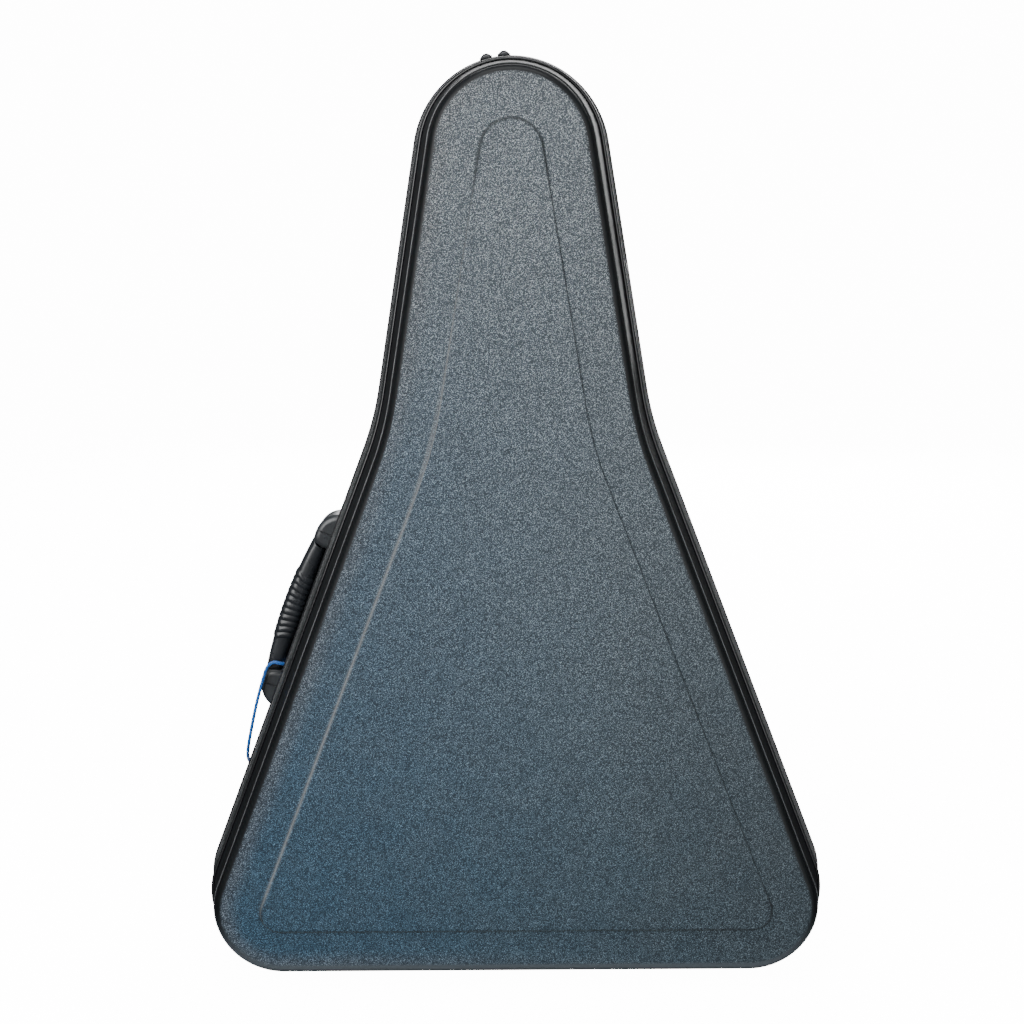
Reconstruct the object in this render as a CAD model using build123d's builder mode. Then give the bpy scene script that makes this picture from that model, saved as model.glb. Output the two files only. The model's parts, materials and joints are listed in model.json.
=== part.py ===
"""A thermoformed hard case for a prima balalaika, closed and standing on its broad end.

Frame: millimetres, +Z up along the case, the lid faces -Y, the handle is on the -X flank
and the woven hinge band on the +X flank. The origin is under the middle of the case.

A place in the case's depth is its level: the distance in front of the middle of the depth
(y = -level). The case's outline on a level is the lid's rim outline, moved out by a growth.
"""

import os
from itertools import pairwise
from math import asin, atan2, cos, degrees, hypot, pi, radians, sin, tan

from build123d import *

# ---------------------------------------------------------------- driving dimensions
# outline of the lid's rim, as a five-cornered frame with rounded corners
rim_length = 705.5  # from the flat end to the top of the head
foot_half_width = 268.5  # where the flank line meets the flat end
waist_half_width = 96.5  # where the two flank lines meet
waist_height = 441.2
foot_radius = 54.5
waist_radius = 252.0
head_radius = 61.5

# places in the depth, and the growth of the outline there
case_depth = 145.0
rim_round = 7.5
back_round = 7.3
field_rise = 2.0  # raised middle of the front and back panels
field_inset = 38.0
field_round = 0.8
rim_drop = 10.0  # the rim bead lies this far behind the front
lid_edge_level = 33.0
seam_level = 17.5  # middle of the zipper, where lid and base part
base_edge_level = 2.5
lid_edge_growth = 7.0
base_edge_growth = 13.5
back_growth = 7.5

shell_wall = 3.0
lining_wall = 1.0
piping_width = 4.4
piping_rise = 2.2
base_piping_rise = 1.0
piping_lip = 0.2  # thickness of the piping's edges
bead_rise = 0.8
bead_width = 2.4

# zipper
tape_wall = 0.9
coil_width = 2.5
coil_rise = 0.8
seam_gap = 1.2
hinge_band_low = 66.0
hinge_band_high = 575.0
hinge_band_rise = 0.6
end_stop_length = 5.0
slider_length = 9.0
slider_width = 10.0
slider_plate = 0.9
slider_clearance = 0.35
slider_web = 0.6
left_slider_angle = 14.5  # from the top of the head, towards the handle
right_slider_angle = 4.0
pull_length = 10.0
pull_width = 5.0
pull_wall = 1.0
pull_pin_radius = 0.4
pull_eye_wall = 0.65
pull_round = 1.5
pull_play = 1.0  # between the pull and the slider's cheeks
pin_clearance = 0.3
pull_pin_height = 1.4  # over the slider's plate
bail_height = 2.1
bail_length = 3.6
bail_wall = 1.2

# feet
floor_gap = 1.0  # between the floor and the widest piping
foot_spacing = 300.0
base_foot_radius = 9.0
base_foot_level = -50.0
lid_foot_radius = 4.0
lid_foot_level = 32.0
foot_round = 1.5

# handle
handle_height = 291.0  # middle of the handle above the floor
handle_level = -31.0
handle_length = 176.0
handle_rise = 23.5  # top of the grip above the base wall, in its middle
grip_end_rise = 18.5
grip_end = 63.0  # from the handle's middle to each end of the grip
grip_width = 28.0
grip_gap = 5.0  # between the grip and the base wall
grip_round = 5.2
grip_travel = 5.0
rib_count = 11
rib_pitch = 5.6
rib_width = 2.8
rib_height = 0.8
cap_width = 32.0
cap_peak = 66.0  # from the handle's middle to the highest part of each cap
cap_nose = 56.0  # the cap's round inner end, tucked into the end of the grip
cap_nose_rise = 7.0
cap_tip_rise = 4.0
cap_round = 5.0
cap_groove = 69.5
cap_groove_rise = 8.5
cap_groove_length = 14.0
cap_groove_width = 1.0
cap_groove_depth = 1.4
strap_length = 142.0
strap_width = 15.0
strap_wall = 1.6
strap_rise = 8.4
strap_round = 3.0
strap_clearance = 0.4
handle_gap = 0.7  # between the grip's ends and the caps
screw_place = 79.5  # from the handle's middle
screw_radius = 2.0
screw_head_radius = 4.0
screw_head_height = 1.8
screw_bite = 3.0  # the screws reach this far into the caps
plate_length = 20.0
plate_width = 28.0
plate_wall = 1.5
plate_round = 3.0
plate_sink = 3.75  # the plates' faces lie this deep in the shell, and follow its inside
plate_room = 1.0

# padding
foam_level = 8.0  # face of the base's padding, under its lining
foam_gap = 0.3
lid_foam_wall = 8.0
lid_lining_gap = 0.2
body_floor_level = -60.0
neck_floor_level = -20.0
head_floor_level = -44.0
body_half_width = 212.0
body_base_height = 28.0
body_top_height = 318.0
body_corner_radius = 18.0
neck_half_width = 30.0
neck_top_height = 590.0
pocket_overlap = 6.0
headstock_half_width = 42.0
headstock_top_height = 706.0
headstock_corner_radius = 20.0
cradle_low = 520.0
cradle_high = 550.0
cradle_slot_half_width = 16.0
cradle_slot_depth = 12.0
cradle_face_level = -2.0

# accessory compartment beside the neck
tray_inner = 39.0
tray_width = 44.0
tray_low = 352.0
tray_high = 472.0
tray_floor_level = -44.0
tray_wall = 2.0
tray_gap = 0.3
tray_lid_wall = 3.0
tray_lid_overlap = 1.0  # the lid reaches this far past the tray
tray_hinge_radius = 1.2
tray_hinge_wall = 1.0
tray_pin_radius = 0.5
knuckle_count = 5
knuckle_gap = 0.2  # at each end of a knuckle
knuckle_clearance = 1.0  # between the tray and the knuckles
leaf_width = 10.0
leaf_joined_width = 6.0
tab_length = 16.0
tab_width = 14.0
tab_wall = 0.8
tab_round = 3.0

# hanging cord, looped through the handle, and the tag on its ends
cord_radius = 1.5
cord_points = [
    (-229.5, 41.5, 156.0),
    (-222.5, 47.5, 167.0),
    (-211.5, 50.0, 192.5),
    (-195.0, 50.0, 235.5),
    (-192.0, 47.5, 245.5),
    (-191.0, 41.0, 249.5),
    (-191.0, 30.0, 250.0),
    (-191.5, 18.0, 250.5),
    (-195.5, 13.5, 252.0),
    (-201.5, 13.0, 254.0),
    (-207.0, 12.5, 250.5),
    (-210.0, 12.0, 242.5),
    (-216.5, 12.0, 221.5),
    (-222.5, 13.0, 197.0),
    (-228.5, 19.0, 172.5),
    (-230.5, 32.0, 159.5),
    (-230.5, 39.5, 155.5),
]
knot_radius = 3.4
knot_rise = 4.3
tag_hang = 152.0  # from the handle's middle down to the knot
tag_length = 56.0
tag_width = 34.0
tag_round = 6.0
tag_wall = 1.0
tag_gap = 0.4
tag_shift = 8.5  # the tag hangs this far to the rear of the handle's level
tag_margin = 7.0  # from the tag's top edge to its eyelet
eyelet_radius = 4.0
eyelet_hole_radius = 2.0
eyelet_rise = 0.5

# ---------------------------------------------------------------- worked-out sizes
front_level = case_depth / 2
panel_level = front_level - field_rise
rim_level = front_level - rim_drop
back_level = -front_level
back_panel_level = back_level + field_rise
back_rim_level = back_panel_level + rim_round
widest_growth = base_edge_growth + base_piping_rise
rim_bottom = floor_gap + widest_growth
head_reach = rim_length - head_radius - waist_height  # from the waist up to the head's centre
head_flank_angle = atan2(waist_half_width, head_reach) - asin(
    head_radius / hypot(waist_half_width, head_reach)
)
apex_height = rim_length + head_radius * (1 / sin(head_flank_angle) - 1)
head_centre_height = rim_bottom + rim_length - head_radius
flank_angle = degrees(atan2(foot_half_width - waist_half_width, waist_height))
coil_far = seam_gap / 2 + coil_width
screw_spots = [(-screw_place, 0), (screw_place, 0)]

os.makedirs("parts", exist_ok=True)


def save(part, label):
    """Names a finished piece and writes it to its own file."""
    part.label = label
    export_step(part, f"parts/{label}.step")
    print(f"{label:24s} {len(part.solids())} solid(s) {part.volume / 1000:9.2f} cm3")


def side_growth(level):
    """Growth of the outer side surface at a level: lid wall, zipper band, then base wall."""
    stations = [
        (rim_level, 0.0),
        (lid_edge_level, lid_edge_growth),
        (base_edge_level, base_edge_growth),
        (back_rim_level, back_growth),
    ]
    for (front, front_growth), (rear, rear_growth) in pairwise(stations):
        if level >= rear:
            share = (front - level) / (front - rear)
            return front_growth + share * (rear_growth - front_growth)
    return back_growth


def case_outline(level, growth):
    """The case's outline on a level, as a face."""
    corners = [
        (-foot_half_width, 0),
        (-waist_half_width, waist_height),
        (0, apex_height),
        (waist_half_width, waist_height),
        (foot_half_width, 0),
    ]
    radii = [foot_radius, waist_radius, head_radius, waist_radius, foot_radius]
    with BuildSketch(Plane.XZ.offset(level)) as outline:
        with BuildLine():
            FilletPolyline(*[(x, z + rim_bottom) for x, z in corners], radius=radii, close=True)
        make_face()
        if growth:
            offset(amount=growth)
    return outline.sketch.face()


def through(stations):
    """The solid that runs through the case's outline at each (level, growth)."""
    with BuildPart() as body:
        for front, rear in pairwise(stations):
            add(loft([case_outline(*front), case_outline(*rear)], mode=Mode.PRIVATE))
    return body.part


def band(front, rear, rise, wall):
    """A ring that follows the side between two levels, its outer face `rise` outside it."""
    with BuildPart() as ring:
        levels = [front, rear]
        add(through([(level, side_growth(level) + rise) for level in levels]))
        inner = through([(level, side_growth(level) + rise - wall) for level in levels])
        add(inner, mode=Mode.SUBTRACT)
    return ring.part


def flank_block(low, high):
    """A block over the case's +X half between two heights."""
    with BuildPart() as block:
        with BuildSketch(Plane.XY.offset(low)):
            with Locations((foot_half_width, 0)):
                Rectangle(2 * foot_half_width, 2 * case_depth)
        extrude(amount=high - low)
    return block.part


def flank_plane(rise, along=0.0):
    """The handle's plane: +X up along the -X flank, +Y to the rear, facing outwards.

    It lies `rise` above the base wall at the handle's level and `along` above its middle.
    """
    tilt = radians(flank_angle)
    outwards = Vector(-cos(tilt), 0, sin(tilt))
    upwards = Vector(sin(tilt), 0, cos(tilt))
    height = handle_height - rim_bottom
    on_rim = Vector(-foot_half_width + height * tan(tilt), -handle_level, handle_height)
    origin = on_rim + outwards * (side_growth(handle_level) + rise) + upwards * along
    return Plane(origin=origin, x_dir=upwards, z_dir=outwards)


# ---------------------------------------------------------------- lid and base shells
def raised_field(level, outwards):
    """The raised middle of a panel, with soft edges, standing on a level."""
    growth = -field_inset
    with BuildPart() as field:
        add(through([(level, growth), (level + outwards * field_rise, growth - field_rise / 2)]))
        fillet(field.edges().group_by(Axis.Y)[-1 if outwards < 0 else 0], radius=field_round)
    return field.part


with BuildPart() as lid_block:
    add(through([(panel_level, -bead_rise), (rim_level, -bead_rise)]))
    fillet(lid_block.edges().group_by(Axis.Y)[0], radius=rim_round)
    add(raised_field(panel_level, 1))
    add(through([(rim_level + bead_width / 2, 0), (rim_level - bead_width / 2, 0)]))
    lid_skirt = [(rim_level, -bead_rise), (lid_edge_level, lid_edge_growth)]
    add(through(lid_skirt))

lid_inside = [
    (panel_level - shell_wall, -bead_rise - shell_wall),
    (rim_level, -bead_rise - shell_wall),
    (lid_edge_level, lid_edge_growth - shell_wall),
]

with BuildPart() as lid_shell:
    add(lid_block.part)
    add(through(lid_inside), mode=Mode.SUBTRACT)
    pocket_floor = panel_level - shell_wall
    field_pocket = [
        (pocket_floor + field_rise, -field_inset - shell_wall),
        (pocket_floor, -field_inset - shell_wall),
    ]
    add(through(field_pocket), mode=Mode.SUBTRACT)
save(lid_shell.part, "lid_shell")

with BuildPart() as base_block:
    add(through([(back_rim_level, back_growth), (back_panel_level, back_growth)]))
    fillet(base_block.edges().group_by(Axis.Y)[-1], radius=back_round)
    add(raised_field(back_panel_level, -1))
    base_skirt = [(base_edge_level, base_edge_growth), (back_rim_level, back_growth)]
    add(through(base_skirt))

base_inside = [
    (base_edge_level, base_edge_growth - shell_wall),
    (back_rim_level, back_growth - shell_wall),
    (back_panel_level + shell_wall, back_growth - shell_wall),
]

with BuildPart() as base_cavity:
    add(through(base_inside))
    fillet(base_cavity.edges().group_by(Axis.Y)[-1], radius=back_round - shell_wall)
    back_pocket = [
        (back_panel_level + shell_wall, -field_inset - shell_wall),
        (back_panel_level + shell_wall - field_rise, -field_inset - shell_wall),
    ]
    add(through(back_pocket))

with BuildPart() as base_shell:
    add(base_block.part)
    add(base_cavity.part, mode=Mode.SUBTRACT)
    with BuildSketch(flank_plane(0)):
        with Locations(*screw_spots):
            Circle(screw_radius)
    extrude(amount=2 * shell_wall, both=True, mode=Mode.SUBTRACT)
save(base_shell.part, "base_shell")


# ---------------------------------------------------------------- piping and zipper
def piping(level, rise):
    """A rounded moulding around the case, seated on its side at a level."""
    half = piping_width / 2
    shoulder = piping_width / 4
    with BuildPart() as moulding:
        tops = [
            (level + half, side_growth(level + half) + piping_lip),
            (level + shoulder, side_growth(level) + rise),
            (level - shoulder, side_growth(level) + rise),
            (level - half, side_growth(level - half) + piping_lip),
        ]
        add(through(tops))
        seat_levels = [level + half, level, level - half]
        seat = through([(place, side_growth(place)) for place in seat_levels])
        add(seat, mode=Mode.SUBTRACT)
    return moulding.part


lid_piping = piping(lid_edge_level, piping_rise)
save(lid_piping, "lid_piping")
save(piping(base_edge_level, base_piping_rise), "base_piping")

hinge_stretch = flank_block(hinge_band_low, hinge_band_high)

with BuildPart() as lid_zipper_tape:
    add(band(lid_edge_level, seam_level + coil_far, 0, tape_wall))
    add(hinge_stretch, mode=Mode.SUBTRACT)
save(lid_zipper_tape.part, "lid_zipper_tape")

with BuildPart() as base_zipper_tape:
    add(band(seam_level - coil_far, base_edge_level, 0, tape_wall))
    add(hinge_stretch, mode=Mode.SUBTRACT)
save(base_zipper_tape.part, "base_zipper_tape")

with BuildPart() as lid_zipper_coil:
    add(band(seam_level + coil_far, seam_level + seam_gap / 2, coil_rise, coil_rise + tape_wall))
    add(hinge_stretch, mode=Mode.SUBTRACT)
save(lid_zipper_coil.part, "lid_zipper_coil")

with BuildPart() as end_stop_stretches:
    for low in (hinge_band_low - end_stop_length, hinge_band_high):
        add(flank_block(low, low + end_stop_length))

with BuildPart() as base_zipper_coil:
    add(band(seam_level - seam_gap / 2, seam_level - coil_far, coil_rise, coil_rise + tape_wall))
    add(hinge_stretch, mode=Mode.SUBTRACT)
    add(end_stop_stretches.part, mode=Mode.SUBTRACT)
save(base_zipper_coil.part, "base_zipper_coil")

with BuildPart() as zipper_end_stops:
    stop_rise = 2 * coil_rise
    add(band(seam_level - seam_gap / 2, seam_level - coil_far, stop_rise, stop_rise + tape_wall))
    add(end_stop_stretches.part, mode=Mode.INTERSECT)
save(zipper_end_stops.part, "zipper_end_stops")


def hinge_half(edge, shoulder, seam):
    """Half of the woven hinge band, from its shell's edge, past the piping, to the seam."""
    full_wall = hinge_band_rise + tape_wall
    with BuildPart() as half:
        add(band(max(edge, seam), min(edge, seam), 0, tape_wall))
        add(band(max(shoulder, seam), min(shoulder, seam), hinge_band_rise, full_wall))
        add(hinge_stretch, mode=Mode.INTERSECT)
    return half.part


piping_half = piping_width / 2
quarter_gap = seam_gap / 4
lid_half = hinge_half(lid_edge_level, lid_edge_level - piping_half, seam_level + quarter_gap)
base_half = hinge_half(base_edge_level, base_edge_level + piping_half, seam_level - quarter_gap)
save(lid_half, "hinge_band_lid")
save(base_half, "hinge_band_base")


# ---------------------------------------------------------------- sliders and pulls
def head_sector(angle, length):
    """A wedge from the head's centre over a slider's length, across the whole depth."""
    half_turn = degrees(length / 2 / (head_radius + side_growth(seam_level)))
    reach = 2 * head_radius
    with BuildPart() as wedge:
        with BuildSketch(Plane.XZ.offset(seam_level)):
            with BuildLine():
                ends = [
                    (
                        reach * sin(radians(angle + turn)),
                        head_centre_height + reach * cos(radians(angle + turn)),
                    )
                    for turn in (-half_turn, half_turn)
                ]
                Polyline((0, head_centre_height), *ends, close=True)
            make_face()
        extrude(amount=case_depth, both=True)
    return wedge.part


def head_ring(front, rear, inner_growth, outer_growth):
    """A ring about the head's centre between two levels."""
    with BuildPart() as ring:
        with BuildSketch(Plane.XZ.offset(rear)):
            with Locations((0, head_centre_height)):
                Circle(head_radius + outer_growth)
                Circle(head_radius + inner_growth, mode=Mode.SUBTRACT)
        extrude(amount=front - rear)
    return ring.part


slider_front = seam_level + slider_width / 2
slider_rear = seam_level - slider_width / 2
outer_plate_growth = side_growth(seam_level - coil_far) + coil_rise + slider_clearance
inner_plate_growth = side_growth(slider_front) - tape_wall - slider_clearance
bail_growth = outer_plate_growth + slider_plate
bail_inside = pull_width + pull_play


def bail_point(angle):
    """The middle of the pull's pin, over the middle of a slider, as (x, z)."""
    reach = head_radius + bail_growth + pull_pin_height
    turn = radians(angle)
    return reach * sin(turn), head_centre_height + reach * cos(turn)


def slider(angle):
    """A slider: two curved plates joined by a web in the seam, and two cheeks with a pin."""
    with BuildPart() as body:
        add(head_ring(slider_front, slider_rear, outer_plate_growth, bail_growth))
        inner = inner_plate_growth - slider_plate
        add(head_ring(slider_front, slider_rear, inner, inner_plate_growth))
        web_front = seam_level + slider_web / 2
        web_rear = seam_level - slider_web / 2
        add(head_ring(web_front, web_rear, inner, bail_growth))
        add(head_sector(angle, slider_length), mode=Mode.INTERSECT)
        turn = radians(angle)
        outwards = Vector(sin(turn), 0, cos(turn))
        centre = Vector(0, 0, head_centre_height)
        for level in (seam_level - bail_inside / 2 - bail_wall, seam_level + bail_inside / 2):
            foot = centre + outwards * (head_radius + bail_growth - slider_plate / 2)
            foot += Vector(0, -level, 0)
            with BuildSketch(Plane(origin=foot, x_dir=(cos(turn), 0, -sin(turn)), z_dir=outwards)):
                with Locations((0, -bail_wall / 2)):
                    Rectangle(bail_length, bail_wall)
            extrude(amount=bail_height + slider_plate / 2)
        x, z = bail_point(angle)
        with BuildSketch(Plane.XZ.offset(seam_level - bail_inside / 2 - bail_wall)):
            with Locations((x, z)):
                Circle(pull_pin_radius)
        extrude(amount=bail_inside + 2 * bail_wall)
    return body.part


def pull(angle, way):
    """A pull tab with an eye around its slider's pin, lying along the seam towards `way`."""
    x, z = bail_point(angle)
    turn = radians(angle)
    along = Vector(way * cos(turn), 0, -way * sin(turn))
    outwards = Vector(sin(turn), 0, cos(turn))
    with BuildPart() as tab:
        with BuildSketch(Plane.XZ.offset(seam_level - pull_width / 2)):
            with Locations((x, z)):
                Circle(pull_pin_radius + pull_eye_wall)
        extrude(amount=pull_width)
        origin = Vector(x, -seam_level, z) - outwards * (pull_wall / 2)
        with BuildSketch(Plane(origin=origin, x_dir=along, z_dir=outwards)):
            with Locations((pull_length / 2, 0)):
                RectangleRounded(pull_length, pull_width, pull_round)
        extrude(amount=pull_wall)
        with BuildSketch(Plane.XZ.offset(seam_level - pull_width)):
            with Locations((x, z)):
                Circle(pull_pin_radius + pin_clearance)
        extrude(amount=2 * pull_width, mode=Mode.SUBTRACT)
    return tab.part


save(slider(-left_slider_angle), "slider_left")
save(slider(-right_slider_angle), "slider_right")
save(pull(-left_slider_angle, -1), "pull_left")
save(pull(-right_slider_angle, 1), "pull_right")


# ---------------------------------------------------------------- feet
def foot_pair(level, radius, seats):
    """Two round rubber feet between the floor and the parts above them, which seat them."""
    with BuildPart() as feet:
        with BuildSketch(Plane.XY):
            with Locations((-foot_spacing / 2, -level), (foot_spacing / 2, -level)):
                Circle(radius)
        extrude(amount=rim_bottom)
        fillet(feet.edges().group_by(Axis.Z)[0], radius=foot_round)
        for seat in seats:
            add(seat, mode=Mode.SUBTRACT)
    return feet.part


zipper_side = [(level, side_growth(level)) for level in (lid_edge_level, seam_level)]
lid_foot_seats = [lid_block.part, lid_piping, through(zipper_side)]
save(foot_pair(lid_foot_level, lid_foot_radius, lid_foot_seats), "lid_feet")
save(foot_pair(base_foot_level, base_foot_radius, [base_block.part]), "base_feet")

# ---------------------------------------------------------------- handle
def handle_side_plane():
    """The handle's side view: +X up along the flank, +Y outwards, through its middle."""
    flank = flank_plane(0)
    return Plane(origin=flank.origin, x_dir=flank.x_dir, z_dir=(0, -1, 0))


def cap_profile(way, room=0.0):
    """The side outline of the upper (1) or lower (-1) cap, with some room around its nose."""
    tip = (way * handle_length / 2, cap_tip_rise)
    peak = (way * cap_peak, grip_end_rise + room)
    nose = (way * (cap_nose - room), cap_nose_rise)
    sunk = -2 * shell_wall
    with BuildSketch(handle_side_plane()) as outline:
        with BuildLine():
            Spline(tip, peak, tangents=[(-0.4 * way, 1), (-way, 0)])
            Spline(peak, nose, tangents=[(-way, 0), (0, -1)])
            Polyline(nose, (nose[0], sunk), (tip[0], sunk), tip)
        make_face()
    return outline.sketch


def end_cap(way):
    """A domed cap on the base wall that holds one end of the strap and lets it lift."""
    with BuildPart() as cap:
        extrude(cap_profile(way), amount=cap_width / 2, both=True)
        levels = cap.faces().filter_by(GeomType.PLANE).group_by(Axis.Y)
        sides = levels[0] + levels[-1]
        fillet(sides.edges().filter_by(GeomType.LINE, reverse=True), radius=cap_round)
        for side in (-1, 1):
            with BuildSketch(handle_side_plane().offset(side * cap_width / 2)):
                with Locations((way * cap_groove, cap_groove_rise)):
                    SlotOverall(cap_groove_length, cap_groove_width, rotation=90)
            extrude(amount=-side * cap_groove_depth, mode=Mode.SUBTRACT)
        add(base_block.part, mode=Mode.SUBTRACT)
        with BuildSketch(flank_plane(strap_rise - strap_clearance)):
            Rectangle(strap_length + 2 * strap_clearance, strap_width + 2 * strap_clearance)
        room = strap_wall + grip_travel + 2 * strap_clearance
        extrude(amount=room, mode=Mode.SUBTRACT)
        with BuildSketch(flank_plane(-2 * shell_wall)):
            with Locations((way * screw_place, 0)):
                Circle(screw_radius)
        extrude(amount=2 * shell_wall + cap_tip_rise, mode=Mode.SUBTRACT)
    return cap.part


save(end_cap(1), "handle_cap_upper")
save(end_cap(-1), "handle_cap_lower")

with BuildPart() as handle_strap:
    with BuildSketch(flank_plane(strap_rise)):
        RectangleRounded(strap_length, strap_width, strap_round)
    extrude(amount=strap_wall)
save(handle_strap.part, "handle_strap")


def grip_envelope(grow):
    """The bowed grip with rounded edges, its surface moved out by `grow`."""
    with BuildPart() as envelope:
        with BuildSketch(handle_side_plane()):
            with BuildLine():
                ends = [(-grip_end, grip_end_rise + grow), (grip_end, grip_end_rise + grow)]
                ThreePointArc(ends[0], (0, handle_rise + grow), ends[1])
                Polyline(ends[1], (grip_end, grip_gap), (-grip_end, grip_gap), ends[0])
            make_face()
        extrude(amount=grip_width / 2 + grow, both=True)
        long_edges = envelope.edges().filter_by(lambda edge: edge.length > grip_end)
        fillet(long_edges, radius=grip_round)
    return envelope.part


rib_plane = Plane(flank_plane(0).origin, x_dir=(0, 1, 0), z_dir=flank_plane(0).x_dir)
with BuildPart() as ribs:
    for number in range(rib_count):
        place = (number - (rib_count - 1) / 2) * rib_pitch - rib_width / 2
        with BuildSketch(rib_plane.offset(place)):
            Rectangle(2 * grip_width, 4 * grip_width)
        extrude(amount=rib_width)
    add(grip_envelope(rib_height), mode=Mode.INTERSECT)

with BuildPart() as handle_grip:
    add(grip_envelope(0))
    add(ribs.part)
    for way in (-1, 1):
        extrude(cap_profile(way, handle_gap), amount=cap_width, both=True, mode=Mode.SUBTRACT)
    add(handle_strap.part, mode=Mode.SUBTRACT)
save(handle_grip.part, "handle_grip")

plate_rise = -plate_sink - plate_wall
with BuildPart() as handle_screws:
    with BuildSketch(flank_plane(plate_rise)):
        with Locations(*screw_spots):
            Circle(screw_radius)
    extrude(amount=screw_bite - plate_rise)
    with BuildSketch(flank_plane(plate_rise - screw_head_height)):
        with Locations(*screw_spots):
            Circle(screw_head_radius)
    extrude(amount=screw_head_height)
save(handle_screws.part, "handle_screws")

with BuildPart() as backing_plates:
    with BuildSketch(flank_plane(plate_rise)):
        with Locations(*screw_spots):
            RectangleRounded(plate_length, plate_width, plate_round)
            Circle(screw_radius, mode=Mode.SUBTRACT)
    extrude(amount=2 * plate_wall)
    add(base_cavity.part, mode=Mode.INTERSECT)
save(backing_plates.part, "handle_backing_plates")


# ---------------------------------------------------------------- padding and linings
def body_pocket():
    """The balalaika's triangular body, as corner points (x, z)."""
    return [
        (-body_half_width, body_base_height),
        (-neck_half_width, body_top_height),
        (neck_half_width, body_top_height),
        (body_half_width, body_base_height),
    ]


def pocket_outline(kind, level, shrink):
    """The outline of one pocket for the instrument on a level, drawn in by `shrink`."""
    with BuildSketch(Plane.XZ.offset(level)) as pocket:
        if kind == "body":
            with BuildLine():
                Polyline(*body_pocket(), close=True)
            make_face()
            fillet(pocket.vertices().group_by(Axis.Y)[0], radius=body_corner_radius)
        elif kind == "neck":
            with Locations((0, (body_top_height + neck_top_height) / 2)):
                Rectangle(2 * neck_half_width, neck_top_height - body_top_height)
        else:
            with Locations((0, (headstock_top_height + neck_top_height) / 2)):
                height = headstock_top_height - neck_top_height
                RectangleRounded(2 * headstock_half_width, height, headstock_corner_radius)
        if shrink:
            offset(amount=-shrink)
    return pocket.sketch


POCKET_FLOORS = {
    "body": body_floor_level,
    "neck": neck_floor_level,
    "headstock": head_floor_level,
}


def pockets(floor_rise, shrink, top):
    """The three joined pockets for the instrument, with floors lifted and walls drawn in."""
    with BuildPart() as hollow:
        for kind, floor in POCKET_FLOORS.items():
            outline = pocket_outline(kind, floor + floor_rise, shrink)
            extrude(outline, amount=top - floor - floor_rise)
        joints = [
            (body_top_height - pocket_overlap, body_top_height + pocket_overlap),
            (neck_top_height - headstock_corner_radius, neck_top_height + headstock_corner_radius),
        ]
        for low, high in joints:
            with BuildSketch(Plane.XZ.offset(neck_floor_level + floor_rise)):
                with Locations((0, (low + high) / 2)):
                    Rectangle(2 * (neck_half_width - shrink), high - low)
            extrude(amount=top - neck_floor_level - floor_rise)
    return hollow.part


tray_middle_x = tray_inner + tray_width / 2
tray_middle_z = (tray_low + tray_high) / 2
lining_face = foam_level + lining_wall


def tray_block(rear, front, inset):
    """A block over the compartment's plan, drawn in by `inset`."""
    with BuildPart() as block:
        with BuildSketch(Plane.XZ.offset(rear)):
            with Locations((tray_middle_x, tray_middle_z)):
                Rectangle(tray_width - 2 * inset, tray_high - tray_low - 2 * inset)
        extrude(amount=front - rear)
    return block.part


foam_outside = [
    (foam_level, side_growth(foam_level) - tape_wall - shell_wall),
    (base_edge_level, base_edge_growth - shell_wall - foam_gap),
    (back_rim_level, back_growth - shell_wall - foam_gap),
    (back_panel_level + shell_wall + foam_gap, back_growth - rim_round),
]

with BuildPart() as base_foam:
    add(through(foam_outside))
    foam_top = foam_level + lining_wall
    add(pockets(0, 0, foam_top), mode=Mode.SUBTRACT)
    add(tray_block(tray_floor_level - tray_gap, foam_top, -tray_gap), mode=Mode.SUBTRACT)
    with BuildSketch(flank_plane(plate_rise - screw_head_height - plate_room)):
        with Locations(*screw_spots):
            Rectangle(plate_length + 2 * plate_room, plate_width + 2 * plate_room)
    extrude(amount=4 * shell_wall, mode=Mode.SUBTRACT)
save(base_foam.part, "base_foam")

with BuildPart() as base_lining:
    face_growth = side_growth(foam_level) - tape_wall - shell_wall
    add(through([(lining_face, face_growth), (foam_level, face_growth)]))
    add(pockets(0, 0, lining_face))
    add(pockets(lining_wall, lining_wall, lining_face + lining_wall), mode=Mode.SUBTRACT)
    tray_room = tray_block(foam_level - lining_wall, lining_face + lining_wall, -tray_gap)
    add(tray_room, mode=Mode.SUBTRACT)
save(base_lining.part, "base_lining")

lid_floor = panel_level - shell_wall
with BuildPart() as lid_foam:
    pad_growth = -bead_rise - shell_wall - foam_gap
    add(through([(lid_floor - foam_gap, pad_growth), (lid_floor - lid_foam_wall, pad_growth)]))
save(lid_foam.part, "lid_foam")

lid_lining_level = lid_floor - lid_foam_wall
lid_skirt_level = seam_level + seam_gap + coil_far
with BuildPart() as lid_lining:
    wall_gap = shell_wall + lid_lining_gap
    top_growth = -bead_rise - wall_gap
    lid_edge_inner = lid_edge_growth - wall_gap
    outside = [
        (lid_lining_level, top_growth),
        (lid_edge_level, lid_edge_inner),
        (lid_skirt_level, lid_edge_inner),
    ]
    inside = [
        (lid_lining_level - lining_wall, top_growth - lining_wall),
        (lid_edge_level, lid_edge_inner - lining_wall),
        (lid_skirt_level, lid_edge_inner - lining_wall),
    ]
    add(through(outside))
    add(through(inside), mode=Mode.SUBTRACT)
save(lid_lining.part, "lid_lining")

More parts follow.
